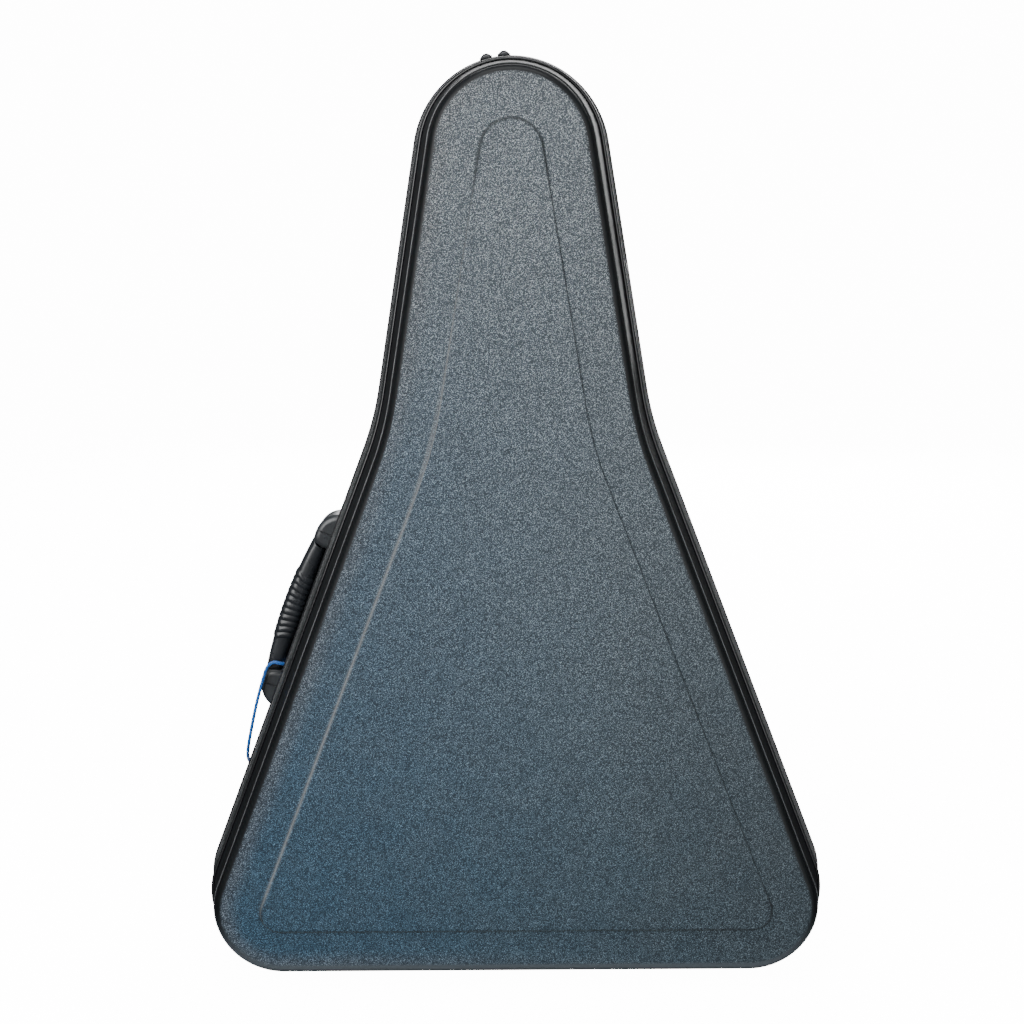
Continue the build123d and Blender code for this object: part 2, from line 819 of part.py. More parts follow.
with BuildPart() as neck_cradle:
    cradle_floor = neck_floor_level + lining_wall
    cradle_width = 2 * (neck_half_width - lining_wall)
    with BuildSketch(Plane.XZ.offset(cradle_floor)):
        with Locations((0, (cradle_low + cradle_high) / 2)):
            Rectangle(cradle_width, cradle_high - cradle_low)
    extrude(amount=cradle_face_level - cradle_floor)
    with BuildSketch(Plane.XZ.offset(cradle_face_level - cradle_slot_depth)):
        with Locations((0, (cradle_low + cradle_high) / 2)):
            Rectangle(2 * cradle_slot_half_width, cradle_high - cradle_low)
    extrude(amount=2 * cradle_slot_depth, mode=Mode.SUBTRACT)
save(neck_cradle.part, "neck_cradle")

# ---------------------------------------------------------------- accessory compartment
with BuildPart() as compartment_tray:
    add(tray_block(tray_floor_level, foam_level, 0))
    tray_hollow = tray_block(tray_floor_level + tray_wall, foam_level + tray_wall, tray_wall)
    add(tray_hollow, mode=Mode.SUBTRACT)
save(compartment_tray.part, "compartment_tray")

tray_outer = tray_inner + tray_width
hinge_x = tray_outer + tray_hinge_radius + knuckle_clearance
hinge_axis_level = lining_face + tray_hinge_radius + knuckle_gap
tray_length = tray_high - tray_low
knuckle_length = tray_length / knuckle_count
tray_lid_level = lining_face + tray_gap


def along_hinge(first):
    """Planes across the compartment's hinge at the foot of every second knuckle."""
    lows = [tray_low + number * knuckle_length for number in range(first, knuckle_count, 2)]
    return [Plane.XY.offset(low + knuckle_gap) for low in lows]


def hinge_strip(plane, inner_x, outer_x, front):
    """A flat strip along one knuckle, from the lining's face or lid's back to its front."""
    with BuildPart() as strip:
        with BuildSketch(plane):
            with Locations(((inner_x + outer_x) / 2, tray_hinge_wall / 2 - front)):
                Rectangle(outer_x - inner_x, tray_hinge_wall)
        extrude(amount=knuckle_length - 2 * knuckle_gap)
    return strip.part


def knuckles(first):
    """Every second knuckle of the compartment's hinge, from the numbered one."""
    with BuildPart() as rolls:
        for plane in along_hinge(first):
            with BuildSketch(plane):
                with Locations((hinge_x, -hinge_axis_level)):
                    Circle(tray_hinge_radius)
                    Circle(tray_pin_radius, mode=Mode.SUBTRACT)
            extrude(amount=knuckle_length - 2 * knuckle_gap)
    return rolls.part


with BuildPart() as compartment_lid:
    add(tray_block(tray_lid_level, tray_lid_level + tray_lid_wall, -tray_lid_overlap))
    add(knuckles(0))
    strip_front = hinge_axis_level + tray_hinge_wall / 2
    for plane in along_hinge(0):
        add(hinge_strip(plane, tray_outer, hinge_x - 2 * tray_pin_radius, strip_front))
save(compartment_lid.part, "compartment_lid")

with BuildPart() as compartment_hinge:
    add(knuckles(1))
    leaf_front = lining_face + tray_hinge_wall
    for plane in along_hinge(1):
        add(hinge_strip(plane, hinge_x + tray_pin_radius, hinge_x + leaf_width, leaf_front))
    with BuildSketch(Plane.XY.offset(tray_low)):
        with Locations((hinge_x + leaf_width - leaf_joined_width / 2, tray_hinge_wall / 2 - leaf_front)):
            Rectangle(leaf_joined_width, tray_hinge_wall)
    extrude(amount=tray_length)
    with BuildSketch(Plane.XY.offset(tray_low)):
        with Locations((hinge_x, -hinge_axis_level)):
            Circle(tray_pin_radius)
    extrude(amount=tray_length)
save(compartment_hinge.part, "compartment_hinge")

with BuildPart() as compartment_tab:
    tab_level = tray_lid_level + tray_lid_wall
    with BuildSketch(Plane.XZ.offset(tab_level)):
        with Locations((tray_inner + tab_length / 2, tray_middle_z)):
            RectangleRounded(tab_length, tab_width, tab_round)
    extrude(amount=tab_wall)
save(compartment_tab.part, "compartment_tab")

# ---------------------------------------------------------------- hanging cord and tag
def wall_skin(rise, wall):
    """A skin over the base wall behind the piping, its inner face `rise` off the wall."""
    levels = [base_edge_level, back_rim_level]
    with BuildPart() as skin:
        add(through([(level, side_growth(level) + rise + wall) for level in levels]))
        under = through([(level, side_growth(level) + rise) for level in levels])
        add(under, mode=Mode.SUBTRACT)
    return skin.part


knot_place = flank_plane(0, -tag_hang)
knot_plane = Plane(knot_place.origin + Vector(0, tag_shift, 0), knot_place.x_dir, knot_place.z_dir)

with BuildPart() as hang_tag:
    with BuildSketch(knot_plane.offset(-2 * shell_wall)):
        with Locations((tag_margin - tag_length / 2, 0)):
            RectangleRounded(tag_length, tag_width, tag_round)
        Circle(eyelet_radius, mode=Mode.SUBTRACT)
    extrude(amount=6 * shell_wall)
    add(wall_skin(tag_gap, tag_wall), mode=Mode.INTERSECT)
save(hang_tag.part, "hang_tag")

with BuildPart() as tag_eyelet:
    with BuildSketch(knot_plane.offset(-2 * shell_wall)):
        Circle(eyelet_radius)
        Circle(eyelet_hole_radius, mode=Mode.SUBTRACT)
    extrude(amount=6 * shell_wall)
    add(wall_skin(tag_gap, tag_wall + eyelet_rise), mode=Mode.INTERSECT)
save(tag_eyelet.part, "tag_eyelet")

with BuildPart() as cord_knot:
    with Locations(knot_plane.offset(knot_rise)):
        Sphere(knot_radius)
save(cord_knot.part, "cord_knot")


def corner_radii(points):
    """The largest tangent arc at each corner of a route."""
    radii = []
    for before, corner, after in zip(points, points[1:], points[2:]):
        first = Vector(*corner) - Vector(*before)
        second = Vector(*after) - Vector(*corner)
        turn = first.get_angle(second)
        shorter = min(first.length, second.length)
        radii.append(0.45 * shorter / tan(radians(turn / 2)))
    return radii


cord_radii = corner_radii(cord_points)
with BuildPart() as hang_cord:
    with BuildLine() as cord_path:
        FilletPolyline(*cord_points, radius=cord_radii)
    with BuildSketch(Plane(cord_path.line @ 0, z_dir=cord_path.line % 0)):
        Circle(cord_radius)
    sweep()
cord_length = cord_path.wires()[0].length
print("cord radii", [round(radius, 1) for radius in cord_radii])
print("cord length", round(cord_length, 1), "volume over section",
      round(hang_cord.part.volume / (pi * cord_radius**2), 1))
with BuildPart() as trimmed_cord:
    add(hang_cord.part)
    add(cord_knot.part, mode=Mode.SUBTRACT)
save(trimmed_cord.part, "hang_cord")
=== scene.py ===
"""A closed hard case for a balalaika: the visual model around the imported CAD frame."""

import json
import math

import bmesh
import bpy
import numpy as np
from mathutils import Matrix, Vector


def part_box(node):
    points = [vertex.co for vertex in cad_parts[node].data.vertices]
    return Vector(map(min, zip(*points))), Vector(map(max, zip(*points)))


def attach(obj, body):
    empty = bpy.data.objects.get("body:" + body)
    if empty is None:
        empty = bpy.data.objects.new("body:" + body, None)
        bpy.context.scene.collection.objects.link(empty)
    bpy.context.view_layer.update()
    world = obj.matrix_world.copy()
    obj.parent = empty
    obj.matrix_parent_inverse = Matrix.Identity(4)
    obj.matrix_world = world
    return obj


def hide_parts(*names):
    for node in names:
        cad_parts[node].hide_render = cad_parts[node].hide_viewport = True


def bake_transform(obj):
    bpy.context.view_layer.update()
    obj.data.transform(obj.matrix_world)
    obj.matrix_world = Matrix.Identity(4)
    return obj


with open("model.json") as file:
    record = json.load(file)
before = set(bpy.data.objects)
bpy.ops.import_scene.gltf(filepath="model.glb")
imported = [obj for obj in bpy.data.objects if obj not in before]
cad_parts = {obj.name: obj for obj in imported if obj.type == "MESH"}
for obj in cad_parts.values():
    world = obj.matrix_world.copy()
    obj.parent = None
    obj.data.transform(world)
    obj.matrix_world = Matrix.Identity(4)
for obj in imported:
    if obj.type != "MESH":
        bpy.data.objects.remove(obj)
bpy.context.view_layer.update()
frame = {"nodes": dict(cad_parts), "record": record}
nodes = frame["nodes"]

MM = 0.001

# ---------------- the case's own sizes, in mm
RIM_LENGTH = 705.5
FOOT_HALF_WIDTH = 268.5
WAIST_HALF_WIDTH = 96.5
WAIST_HEIGHT = 441.2
HEAD_FLANK_ANGLE = math.radians(9.55)
FOOT_RADIUS = 54.5
WAIST_RADIUS = 252.0
HEAD_RADIUS = 61.5
RIM_BOTTOM = 15.5
RIM_LEVEL = 62.5
PANEL_LEVEL = 70.5
LID_EDGE_LEVEL = 33.0
SEAM_LEVEL = 17.5
BASE_EDGE_LEVEL = 2.5
BACK_RIM_LEVEL = -63.0
SIDE_STATIONS = [
    (BACK_RIM_LEVEL, 7.5),
    (BASE_EDGE_LEVEL, 13.5),
    (LID_EDGE_LEVEL, 7.0),
    (RIM_LEVEL, 0.0),
]
FLANK_ANGLE = math.atan2(FOOT_HALF_WIDTH - WAIST_HALF_WIDTH, WAIST_HEIGHT)
FLANK_UP = Vector((math.sin(FLANK_ANGLE), 0, math.cos(FLANK_ANGLE)))
FLANK_OUT = Vector((-math.cos(FLANK_ANGLE), 0, math.sin(FLANK_ANGLE)))  # on the -X side
FIELD_INSET = 38.6  # from the rim line to the step round the raised middle of the panels
HINGE_BAND = (66.0, 575.0)  # heights of its ends on the +X flank

CORD_ROUTE = [
    (-0.2295, 0.0415, 0.1560),
    (-0.2225, 0.0475, 0.1670),
    (-0.2115, 0.0500, 0.1925),
    (-0.1950, 0.0500, 0.2355),
    (-0.1920, 0.0475, 0.2455),
    (-0.1910, 0.0410, 0.2495),
    (-0.1910, 0.0300, 0.2500),
    (-0.1915, 0.0180, 0.2505),
    (-0.1955, 0.0135, 0.2520),
    (-0.2015, 0.0130, 0.2540),
    (-0.2070, 0.0125, 0.2505),
    (-0.2100, 0.0120, 0.2425),
    (-0.2165, 0.0120, 0.2215),
    (-0.2225, 0.0130, 0.1970),
    (-0.2285, 0.0190, 0.1725),
    (-0.2305, 0.0320, 0.1595),
    (-0.2305, 0.0395, 0.1555),
]
CORD_RADIUS = 0.0015
LINE_STEP = 0.0004  # between the rings of a braid
KNOT_SIZE = 0.0026
KNOT_RADIUS = 0.0011
KNOT_STEPS = 90
BRAID_LAY = 7.0  # radii of cord in which a strand goes once round


def put_in_scene(made):
    """Links a new object to the scene."""
    bpy.context.scene.collection.objects.link(made)


# ---------------- camera
CAMERA_PLACE = (-0.0012, -1.0345, 0.5769)
CAMERA_PITCH = math.radians(79.37)
CAMERA_ROLL = math.radians(-0.36)
CAMERA_LENS = 45.7


def make_camera():
    """The photograph's viewpoint: low telephoto, looking slightly down."""
    data = bpy.data.cameras.new("camera")
    data.sensor_width = 36.0
    data.lens = CAMERA_LENS
    camera = bpy.data.objects.new("camera", data)
    put_in_scene(camera)
    pitch = Matrix.Rotation(CAMERA_PITCH, 4, "X")
    roll = Matrix.Rotation(CAMERA_ROLL, 4, "Z")
    camera.matrix_world = Matrix.Translation(CAMERA_PLACE) @ pitch @ roll
    bpy.context.scene.camera = camera


make_camera()


# ---------------- mesh helpers
def new_piece(name, points, faces, smooth=True):
    """A mesh piece in the row frame; points are in metres."""
    mesh = bpy.data.meshes.new(name)
    mesh.from_pydata([tuple(point) for point in points], [], faces)
    mesh.validate()
    piece = bpy.data.objects.new(name, mesh)
    put_in_scene(piece)
    bm = bmesh.new()
    bm.from_mesh(mesh)
    bmesh.ops.recalc_face_normals(bm, faces=bm.faces)
    bm.to_mesh(mesh)
    bm.free()
    for polygon in mesh.polygons:
        polygon.use_smooth = smooth
    return piece


def ring_faces(rings, sides, looped=False, capped=True):
    """Quads between neighbouring rings, and the two ends unless the tube is looped."""
    faces = []
    for ring in range(rings if looped else rings - 1):
        low = ring * sides
        high = (ring + 1) % rings * sides
        for side in range(sides):
            after = (side + 1) % sides
            faces.append((low + side, low + after, high + after, high + side))
    if capped and not looped:
        faces.append(tuple(range(sides)))
        faces.append(tuple(range((rings - 1) * sides, rings * sides)))
    return faces


def write_uv(piece, coordinates):
    """A UV map from one (u, v) for each vertex, in metres."""
    layer = piece.data.uv_layers.new(name="along")
    for loop in piece.data.loops:
        layer.data[loop.index].uv = coordinates[loop.vertex_index]


def side_growth(level):
    """How far the case's side stands outside the rim line at a level."""
    levels, growths = zip(*SIDE_STATIONS)
    return np.interp(level, levels, growths)


def rim_line(turn_step=math.radians(2)):
    """Points (x, z) and outward normals round the rim line, from the middle of the flat end."""
    apex = RIM_LENGTH + HEAD_RADIUS * (1 / math.sin(HEAD_FLANK_ANGLE) - 1)
    corners = [
        (FOOT_HALF_WIDTH, 0, FOOT_RADIUS),
        (WAIST_HALF_WIDTH, WAIST_HEIGHT, WAIST_RADIUS),
        (0, apex, HEAD_RADIUS),
        (-WAIST_HALF_WIDTH, WAIST_HEIGHT, WAIST_RADIUS),
        (-FOOT_HALF_WIDTH, 0, FOOT_RADIUS),
    ]
    places = [Vector((x, z + RIM_BOTTOM)) for x, z, _ in corners]
    points = [Vector((0, RIM_BOTTOM))]
    normals = [Vector((0, -1))]
    for number, corner in enumerate(places):
        incoming = (corner - places[number - 1]).normalized()
        outgoing = (places[(number + 1) % len(places)] - corner).normalized()
        turn = math.atan2(incoming.x * outgoing.y - incoming.y * outgoing.x, incoming.dot(outgoing))
        radius = corners[number][2]
        start = corner - incoming * radius * math.tan(abs(turn) / 2)
        side = math.copysign(1, turn)
        outward = Vector((incoming.y, -incoming.x))
        centre = start - outward * radius * side
        steps = max(2, round(abs(turn) / turn_step))
        for step in range(steps + 1):
            angle = turn * step / steps
            normal = Vector((
                outward.x * math.cos(angle) - outward.y * math.sin(angle),
                outward.x * math.sin(angle) + outward.y * math.cos(angle),
            ))
            points.append(centre + normal * radius * side)
            normals.append(normal)
    points.append(Vector((0, RIM_BOTTOM)))
    normals.append(Vector((0, -1)))
    return np.array(points), np.array(normals)


RIM_POINTS, RIM_NORMALS = rim_line()


def run_along(line):
    """The length run so far at each point of a polyline."""
    steps = np.linalg.norm(np.diff(line, axis=0), axis=1)
    return np.concatenate([[0], np.cumsum(steps)])


def lengths_along(growth):
    """The length run so far at each point of the rim line, moved out by a growth."""
    return run_along(RIM_POINTS + RIM_NORMALS * growth)


def at_places(places, growth):
    """Points and normals of the rim line at lengths along it, measured at a growth."""
    run = lengths_along(growth)
    wrapped = np.mod(places, run[-1])
    points = np.stack([np.interp(wrapped, run, RIM_POINTS[:, i]) for i in (0, 1)], axis=1)
    normals = np.stack([np.interp(wrapped, run, RIM_NORMALS[:, i]) for i in (0, 1)], axis=1)
    normals /= np.linalg.norm(normals, axis=1)[:, None]
    return points, normals


def place_at_height(height, growth):
    """The length along the +X flank at which it reaches a height."""
    run = lengths_along(growth)
    rising = len(run) // 2
    return float(np.interp(height, RIM_POINTS[:rising, 1], run[:rising]))


def swept(name, section, spacing, stretch=None):
    """A band round the case; section lists (level, growth) in mm, stretch is (from, to) along it."""
    growth = section[0][1]
    total = lengths_along(growth)[-1]
    start, end = stretch or (0, total)
    count = max(3, round((end - start) / spacing))
    places = np.linspace(start, end, count, endpoint=stretch is not None)
    points, normals = at_places(places, growth)
    rings = [
        np.stack([points[:, 0] + normals[:, 0] * g,
                  np.full(count, -level),
                  points[:, 1] + normals[:, 1] * g], axis=1)
        for level, g in section
    ]
    size = len(section)
    vertices = np.stack(rings, axis=1).reshape(-1, 3) * MM
    piece = new_piece(name, vertices, ring_faces(count, size, looped=stretch is None))
    across = run_along(np.array(section))
    write_uv(piece, [(places[i] * MM, across[j] * MM) for i in range(count) for j in range(size)])
    return piece


def copies_along(name, template, template_faces, places, growth_level):
    """Copies of a small shape at places round the case; its points are (along, out, level)."""
    points, normals = at_places(places, side_growth(growth_level))
    template = np.array(template)
    tangents = np.stack([-normals[:, 1], normals[:, 0]], axis=1)
    along, out, level = template[:, 0], template[:, 1], template[:, 2]
    growth = out + side_growth(level)
    x = points[:, None, 0] + tangents[:, None, 0] * along + normals[:, None, 0] * growth
    z = points[:, None, 1] + tangents[:, None, 1] * along + normals[:, None, 1] * growth
    y = np.broadcast_to(-level, x.shape)
    vertices = np.stack([x, y, z], axis=2).reshape(-1, 3) * MM
    size = len(template)
    faces = [
        tuple(i * size + corner for corner in face)
        for i in range(len(places)) for face in template_faces
    ]
    return new_piece(name, vertices, faces)


def tube_shape(stations, sides):
    """Rings of a closed tube: each station is (centre, first half axis, second half axis)."""
    points = []
    for centre, first, second in stations:
        for side in range(sides):
            turn = 2 * math.pi * side / sides
            points.append(Vector(centre) + Vector(first) * math.cos(turn)
                          + Vector(second) * math.sin(turn))
    return [tuple(point) for point in points], ring_faces(len(stations), sides)


# ---------------- cord, knot and tag
def route_centreline(name, route):
    """Points read from the smooth NURBS line that has the route as its control points."""
    data = bpy.data.curves.new(name, "CURVE")
    data.dimensions = "3D"
    data.resolution_u = 48
    spline = data.splines.new("NURBS")
    spline.points.add(len(route) - 1)
    for point, place in zip(spline.points, route):
        point.co = (*place, 1)
    spline.order_u = 3
    spline.use_endpoint_u = True
    carrier = bpy.data.objects.new(name, data)
    mesh = bpy.data.meshes.new_from_object(carrier)
    points = [vertex.co.copy() for vertex in mesh.vertices]
    bpy.data.meshes.remove(mesh)
    bpy.data.objects.remove(carrier)
    bpy.data.curves.remove(data)
    return points


def resampled(points, spacing, closed=False):
    """Points at equal steps along a polyline, as an array."""
    line = np.array(points + points[:1] if closed else points)
    run = run_along(line)
    count = round(run[-1] / spacing) + 1
    places = np.linspace(0, run[-1], count)
    return np.stack([np.interp(places, run, line[:, i]) for i in range(3)], axis=1)


def braided_tube(name, line, radius, closed=False):
    """A round cord of crossing strands along a line, modelled in its surface."""
    around = 32
    strands = 4
    lay = BRAID_LAY * radius
    count = len(line) - 1 if closed else len(line)
    before = np.roll(line[:count], 1, axis=0) if closed else np.vstack([line[:1], line[:-1]])
    after = np.roll(line[:count], -1, axis=0) if closed else np.vstack([line[1:], line[-1:]])
    tangents = after - before
    tangents /= np.linalg.norm(tangents, axis=1)[:, None]
    first = np.cross(tangents[0], (0.3, 1.0, 0.2))
    first /= np.linalg.norm(first)
    run = 0.0
    vertices, uv = [], []
    for i in range(count):
        first = first - tangents[i] * first.dot(tangents[i])
        first /= np.linalg.norm(first)
        second = np.cross(tangents[i], first)
        if i:
            run += float(np.linalg.norm(line[i] - line[i - 1]))
        for j in range(around):
            turn = 2 * math.pi * j / around
            wind = 2 * math.pi * run / lay
            left = abs(math.sin(strands * (turn + wind) / 2))
            right = abs(math.sin(strands * (turn - wind) / 2))
            height = radius * (0.86 + 0.13 * max(left, right) ** 1.5)
            if not closed:
                taper = min(1.0, (min(i, count - 1 - i) + 0.4) / 4)
                height *= math.sqrt(taper)
            vertices.append(line[i] + height * (math.cos(turn) * first
                                                + math.sin(turn) * second))
            uv.append((run, turn * radius))
    piece = new_piece(name, vertices, ring_faces(count, around, looped=closed))
    write_uv(piece, uv)
    return piece


def knot_line(centre, size):
    """A small three-lobed knot in the row frame, flattened towards the case."""
    points = []
    for step in range(KNOT_STEPS):
        t = 2 * math.pi * step / KNOT_STEPS
        first = (math.sin(t) + 2 * math.sin(2 * t)) / 3
        second = (math.cos(t) - 2 * math.cos(2 * t)) / 3
        points.append(Vector(centre) + size * (
            Vector((0, 1, 0)) * first * 0.8 + FLANK_UP * second * 0.8
            - FLANK_OUT * math.sin(3 * t) * 0.5))
    return points


centreline = route_centreline("cord_route", CORD_ROUTE)
cord_line = resampled(centreline, LINE_STEP)
cord_piece = braided_tube("hanging_cord_braid", cord_line, CORD_RADIUS)
low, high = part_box("cord_knot")
knot_middle = (low + high) / 2
knot_turns = resampled(knot_line(knot_middle, KNOT_SIZE), LINE_STEP, closed=True)
knot_piece = braided_tube("cord_knot_turns", knot_turns, KNOT_RADIUS, closed=True)
for cord_part, node_name in ((cord_piece, "hang_cord"), (knot_piece, "cord_knot")):
    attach(cord_part, "handle")
    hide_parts(node_name)


# ---------------- shader helpers
def node(tree, kind, inputs=None, **settings):
    """A new shader node, its inputs linked or set."""
    made = tree.nodes.new(kind)
    for key, value in settings.items():
        setattr(made, key, value)
    for socket, value in (inputs or {}).items():
        if isinstance(value, bpy.types.NodeSocket):
            tree.links.new(value, made.inputs[socket])
        else:
            made.inputs[socket].default_value = value
    return made


def new_material(name, roughness=0.5, metallic=0.0, **sockets):
    """A material, its tree and the shaded point; constants go straight on the shader's sockets."""
    material = bpy.data.materials.new(name)
    material.use_nodes = True
    tree = material.node_tree
    shader = tree.nodes["Principled BSDF"]
    shader.inputs["Roughness"].default_value = roughness
    shader.inputs["Metallic"].default_value = metallic
    for socket, value in sockets.items():
        shader.inputs[socket.replace("_", " ")].default_value = value
    return material, tree, place_of(tree)


def place_of(tree):
    """The shaded point in its object's own coordinates."""
    return node(tree, "ShaderNodeTexCoord").outputs["Object"]


def turned_place(tree):
    """The same point in turned axes, so that noise looks alike on every flat face."""
    made = node(tree, "ShaderNodeMapping", {"Vector": place_of(tree), "Rotation": (0.5, 0.7, 0.3)})
    return made.outputs[0]


def parts_of(tree, vector):
    """X, Y and Z of a vector."""
    split = node(tree, "ShaderNodeSeparateXYZ", {0: vector})
    return split.outputs[0], split.outputs[1], split.outputs[2]


def calc(tree, operation, first, second=0.0, third=0.0):
    """One step of arithmetic; a smooth maximum takes its softness as the third value."""
    made = node(tree, "ShaderNodeMath", {0: first, 1: second, 2: third}, operation=operation)
    return made.outputs[0]


def plus(tree, first, second):
    """The sum of two values."""
    return calc(tree, "ADD", first, second)


def minus(tree, first, second):
    """The first value less the second."""
    return calc(tree, "SUBTRACT", first, second)


def times(tree, first, second):
    """The product of two values."""
    return calc(tree, "MULTIPLY", first, second)


def smooth_step(tree, value, low, high):
    """0 at low and 1 at high, with a soft run between; low may be the larger of the two."""
    made = node(tree, "ShaderNodeMapRange", {"Value": value, "From Min": low, "From Max": high},
                interpolation_type="SMOOTHSTEP", clamp=True)
    return made.outputs["Result"]


def rescale(tree, value, low, high, to_low, to_high):
    """A value's range moved to another range, and held there."""
    made = node(tree, "ShaderNodeMapRange", {
        "Value": value, "From Min": low, "From Max": high, "To Min": to_low, "To Max": to_high})
    return made.outputs["Result"]


def noise(tree, vector, scale, detail=2.0, roughness=0.5):
    """Fractal noise with a given number of features to the metre."""
    made = node(tree, "ShaderNodeTexNoise", {
        "Vector": vector, "Scale": scale, "Detail": detail, "Roughness": roughness})
    return made.outputs["Fac"]


def cells(tree, vector, scale):
    """Distance to the nearest point of a scatter."""
    made = node(tree, "ShaderNodeTexVoronoi", {"Vector": vector, "Scale": scale})
    return made.outputs["Distance"]


def mix_colour(tree, share, first, second, blend="MIX"):
    """Two colours mixed."""
    made = node(tree, "ShaderNodeMix", data_type="RGBA", blend_type=blend, clamp_factor=True)
    for socket, value in ((0, share), (6, first), (7, second)):
        if isinstance(value, bpy.types.NodeSocket):
            tree.links.new(value, made.inputs[socket])
        elif socket:
            made.inputs[socket].default_value = (*value, 1)
        else:
            made.inputs[socket].default_value = value
    return made.outputs[2]


def mix_value(tree, share, first, second):
    """Two numbers mixed."""
    made = node(tree, "ShaderNodeMix", {0: share, 2: first, 3: second}, data_type="FLOAT")
    return made.outputs[0]


def bump(tree, height, depth, strength):
    """A normal pushed by a height; depth is in metres."""
    inputs = {"Height": height, "Distance": depth, "Strength": strength}
    return node(tree, "ShaderNodeBump", inputs).outputs["Normal"]


def dress(material, colour, roughness=None, normal=None):
    """Links what varies over the surface to the material's shader, and returns the material."""
    tree = material.node_tree
    shader = tree.nodes["Principled BSDF"]
    for socket, value in (("Base Color", colour), ("Roughness", roughness), ("Normal", normal)):
        if value is not None:
            tree.links.new(value, shader.inputs[socket])
    return material


def tinted(tree, colour, vector, spread=0.25, scale=35.0):
    """A colour with a slow, slight variation over the surface."""
    drift = rescale(tree, noise(tree, vector, scale, 3.0), 0.3, 0.7, 0.0, 1.0)
    darker = [channel * (1 - spread) for channel in colour]
    lighter = [channel * (1 + spread) for channel in colour]
    return mix_colour(tree, drift, darker, lighter)


# ---------------- materials
def rim_distance(tree, x, z):
    """Distance inside the case's rim line, in metres: flanks, flat end, foot corners and head."""
    across = calc(tree, "ABSOLUTE", x)
    lines = []
    for half_width, height, angle in (
        (FOOT_HALF_WIDTH, 0.0, FLANK_ANGLE),
        (WAIST_HALF_WIDTH, WAIST_HEIGHT, HEAD_FLANK_ANGLE),
    ):
        offset = half_width * math.cos(angle) + (height + RIM_BOTTOM) * math.sin(angle)
        used = times(tree, across, math.cos(angle))
        raised = times(tree, z, math.sin(angle))
        lines.append(minus(tree, offset * MM, plus(tree, used, raised)))
    flank = calc(tree, "SMOOTH_MAX", lines[0], lines[1], 0.02)
    inside = calc(tree, "MINIMUM", flank, minus(tree, z, RIM_BOTTOM * MM))

    half_corner = (math.pi / 2 - FLANK_ANGLE) / 2
    foot_x = (FOOT_HALF_WIDTH - FOOT_RADIUS / math.tan(half_corner)) * MM
    foot_z = (RIM_BOTTOM + FOOT_RADIUS) * MM
    head_z = (RIM_BOTTOM + RIM_LENGTH - HEAD_RADIUS) * MM
    past_foot = minus(tree, across, foot_x)
    under_foot = minus(tree, foot_z, z)
    slope = plus(tree, under_foot, times(tree, past_foot, math.tan(FLANK_ANGLE)))
    foot_share = times(tree, calc(tree, "GREATER_THAN", past_foot, 0.0),
                      calc(tree, "GREATER_THAN", slope, 0.0))
    over_head = minus(tree, z, head_z)
    head_share = calc(tree, "GREATER_THAN", over_head, 0.0)
    for share, radius, side, rise in (
        (foot_share, FOOT_RADIUS, past_foot, under_foot),
        (head_share, HEAD_RADIUS, across, over_head),
    ):
        arm = node(tree, "ShaderNodeCombineXYZ", {0: side, 1: rise}).outputs[0]
        reach = node(tree, "ShaderNodeVectorMath", {0: arm}, operation="LENGTH").outputs["Value"]
        inside = mix_value(tree, share, inside, minus(tree, radius * MM, reach))
    return inside


def panel_tone_and_painted_light(tree, turned, x, z, inside):
    """The panels' colour, mostly painted light and shade: blue at the lower left as painted blue
    light, grey at the head as painted light, dark at the right as painted shade, a painted highlight
    along the left edge, and a slow random cloud.
    """
    # Lighter and greyer towards the head: painted light.
    painted_height_light_share = smooth_step(tree, z, -0.1, 0.8)
    ground = mix_colour(tree, painted_height_light_share, (0.034, 0.062, 0.084), (0.15, 0.172, 0.188))
    left = smooth_step(tree, x, 0.14, -0.24)
    middle = minus(tree, 1.0, smooth_step(tree, z, 0.4, 0.66))
    # Bluer at the lower left: painted blue light.
    painted_blue_light_share = times(tree, times(tree, left, middle), 0.5)
    ground = mix_colour(tree, painted_blue_light_share, ground, (0.018, 0.066, 0.122))
    # Darker at the right: painted shade.
    right = times(tree, smooth_step(tree, x, 0.0, 0.26), 0.5)
    ground = mix_colour(tree, right, ground, (0.038, 0.045, 0.048))
    cloud = rescale(tree, noise(tree, turned, 30.0, 4.0, 0.6), 0.3, 0.7, 0.0, 0.12)
    ground = mix_colour(tree, cloud, ground, (0.1, 0.105, 0.105))
    # A lighter, browner band inside the rim at the left: a painted highlight.
    highlight_band = minus(tree, 1.0, smooth_step(tree, inside, 0.008, 0.024))
    painted_edge_highlight_share = times(tree, highlight_band, mix_value(tree, left, 0.0, 0.28))
    return mix_colour(tree, painted_edge_highlight_share, ground, (0.15, 0.13, 0.115))


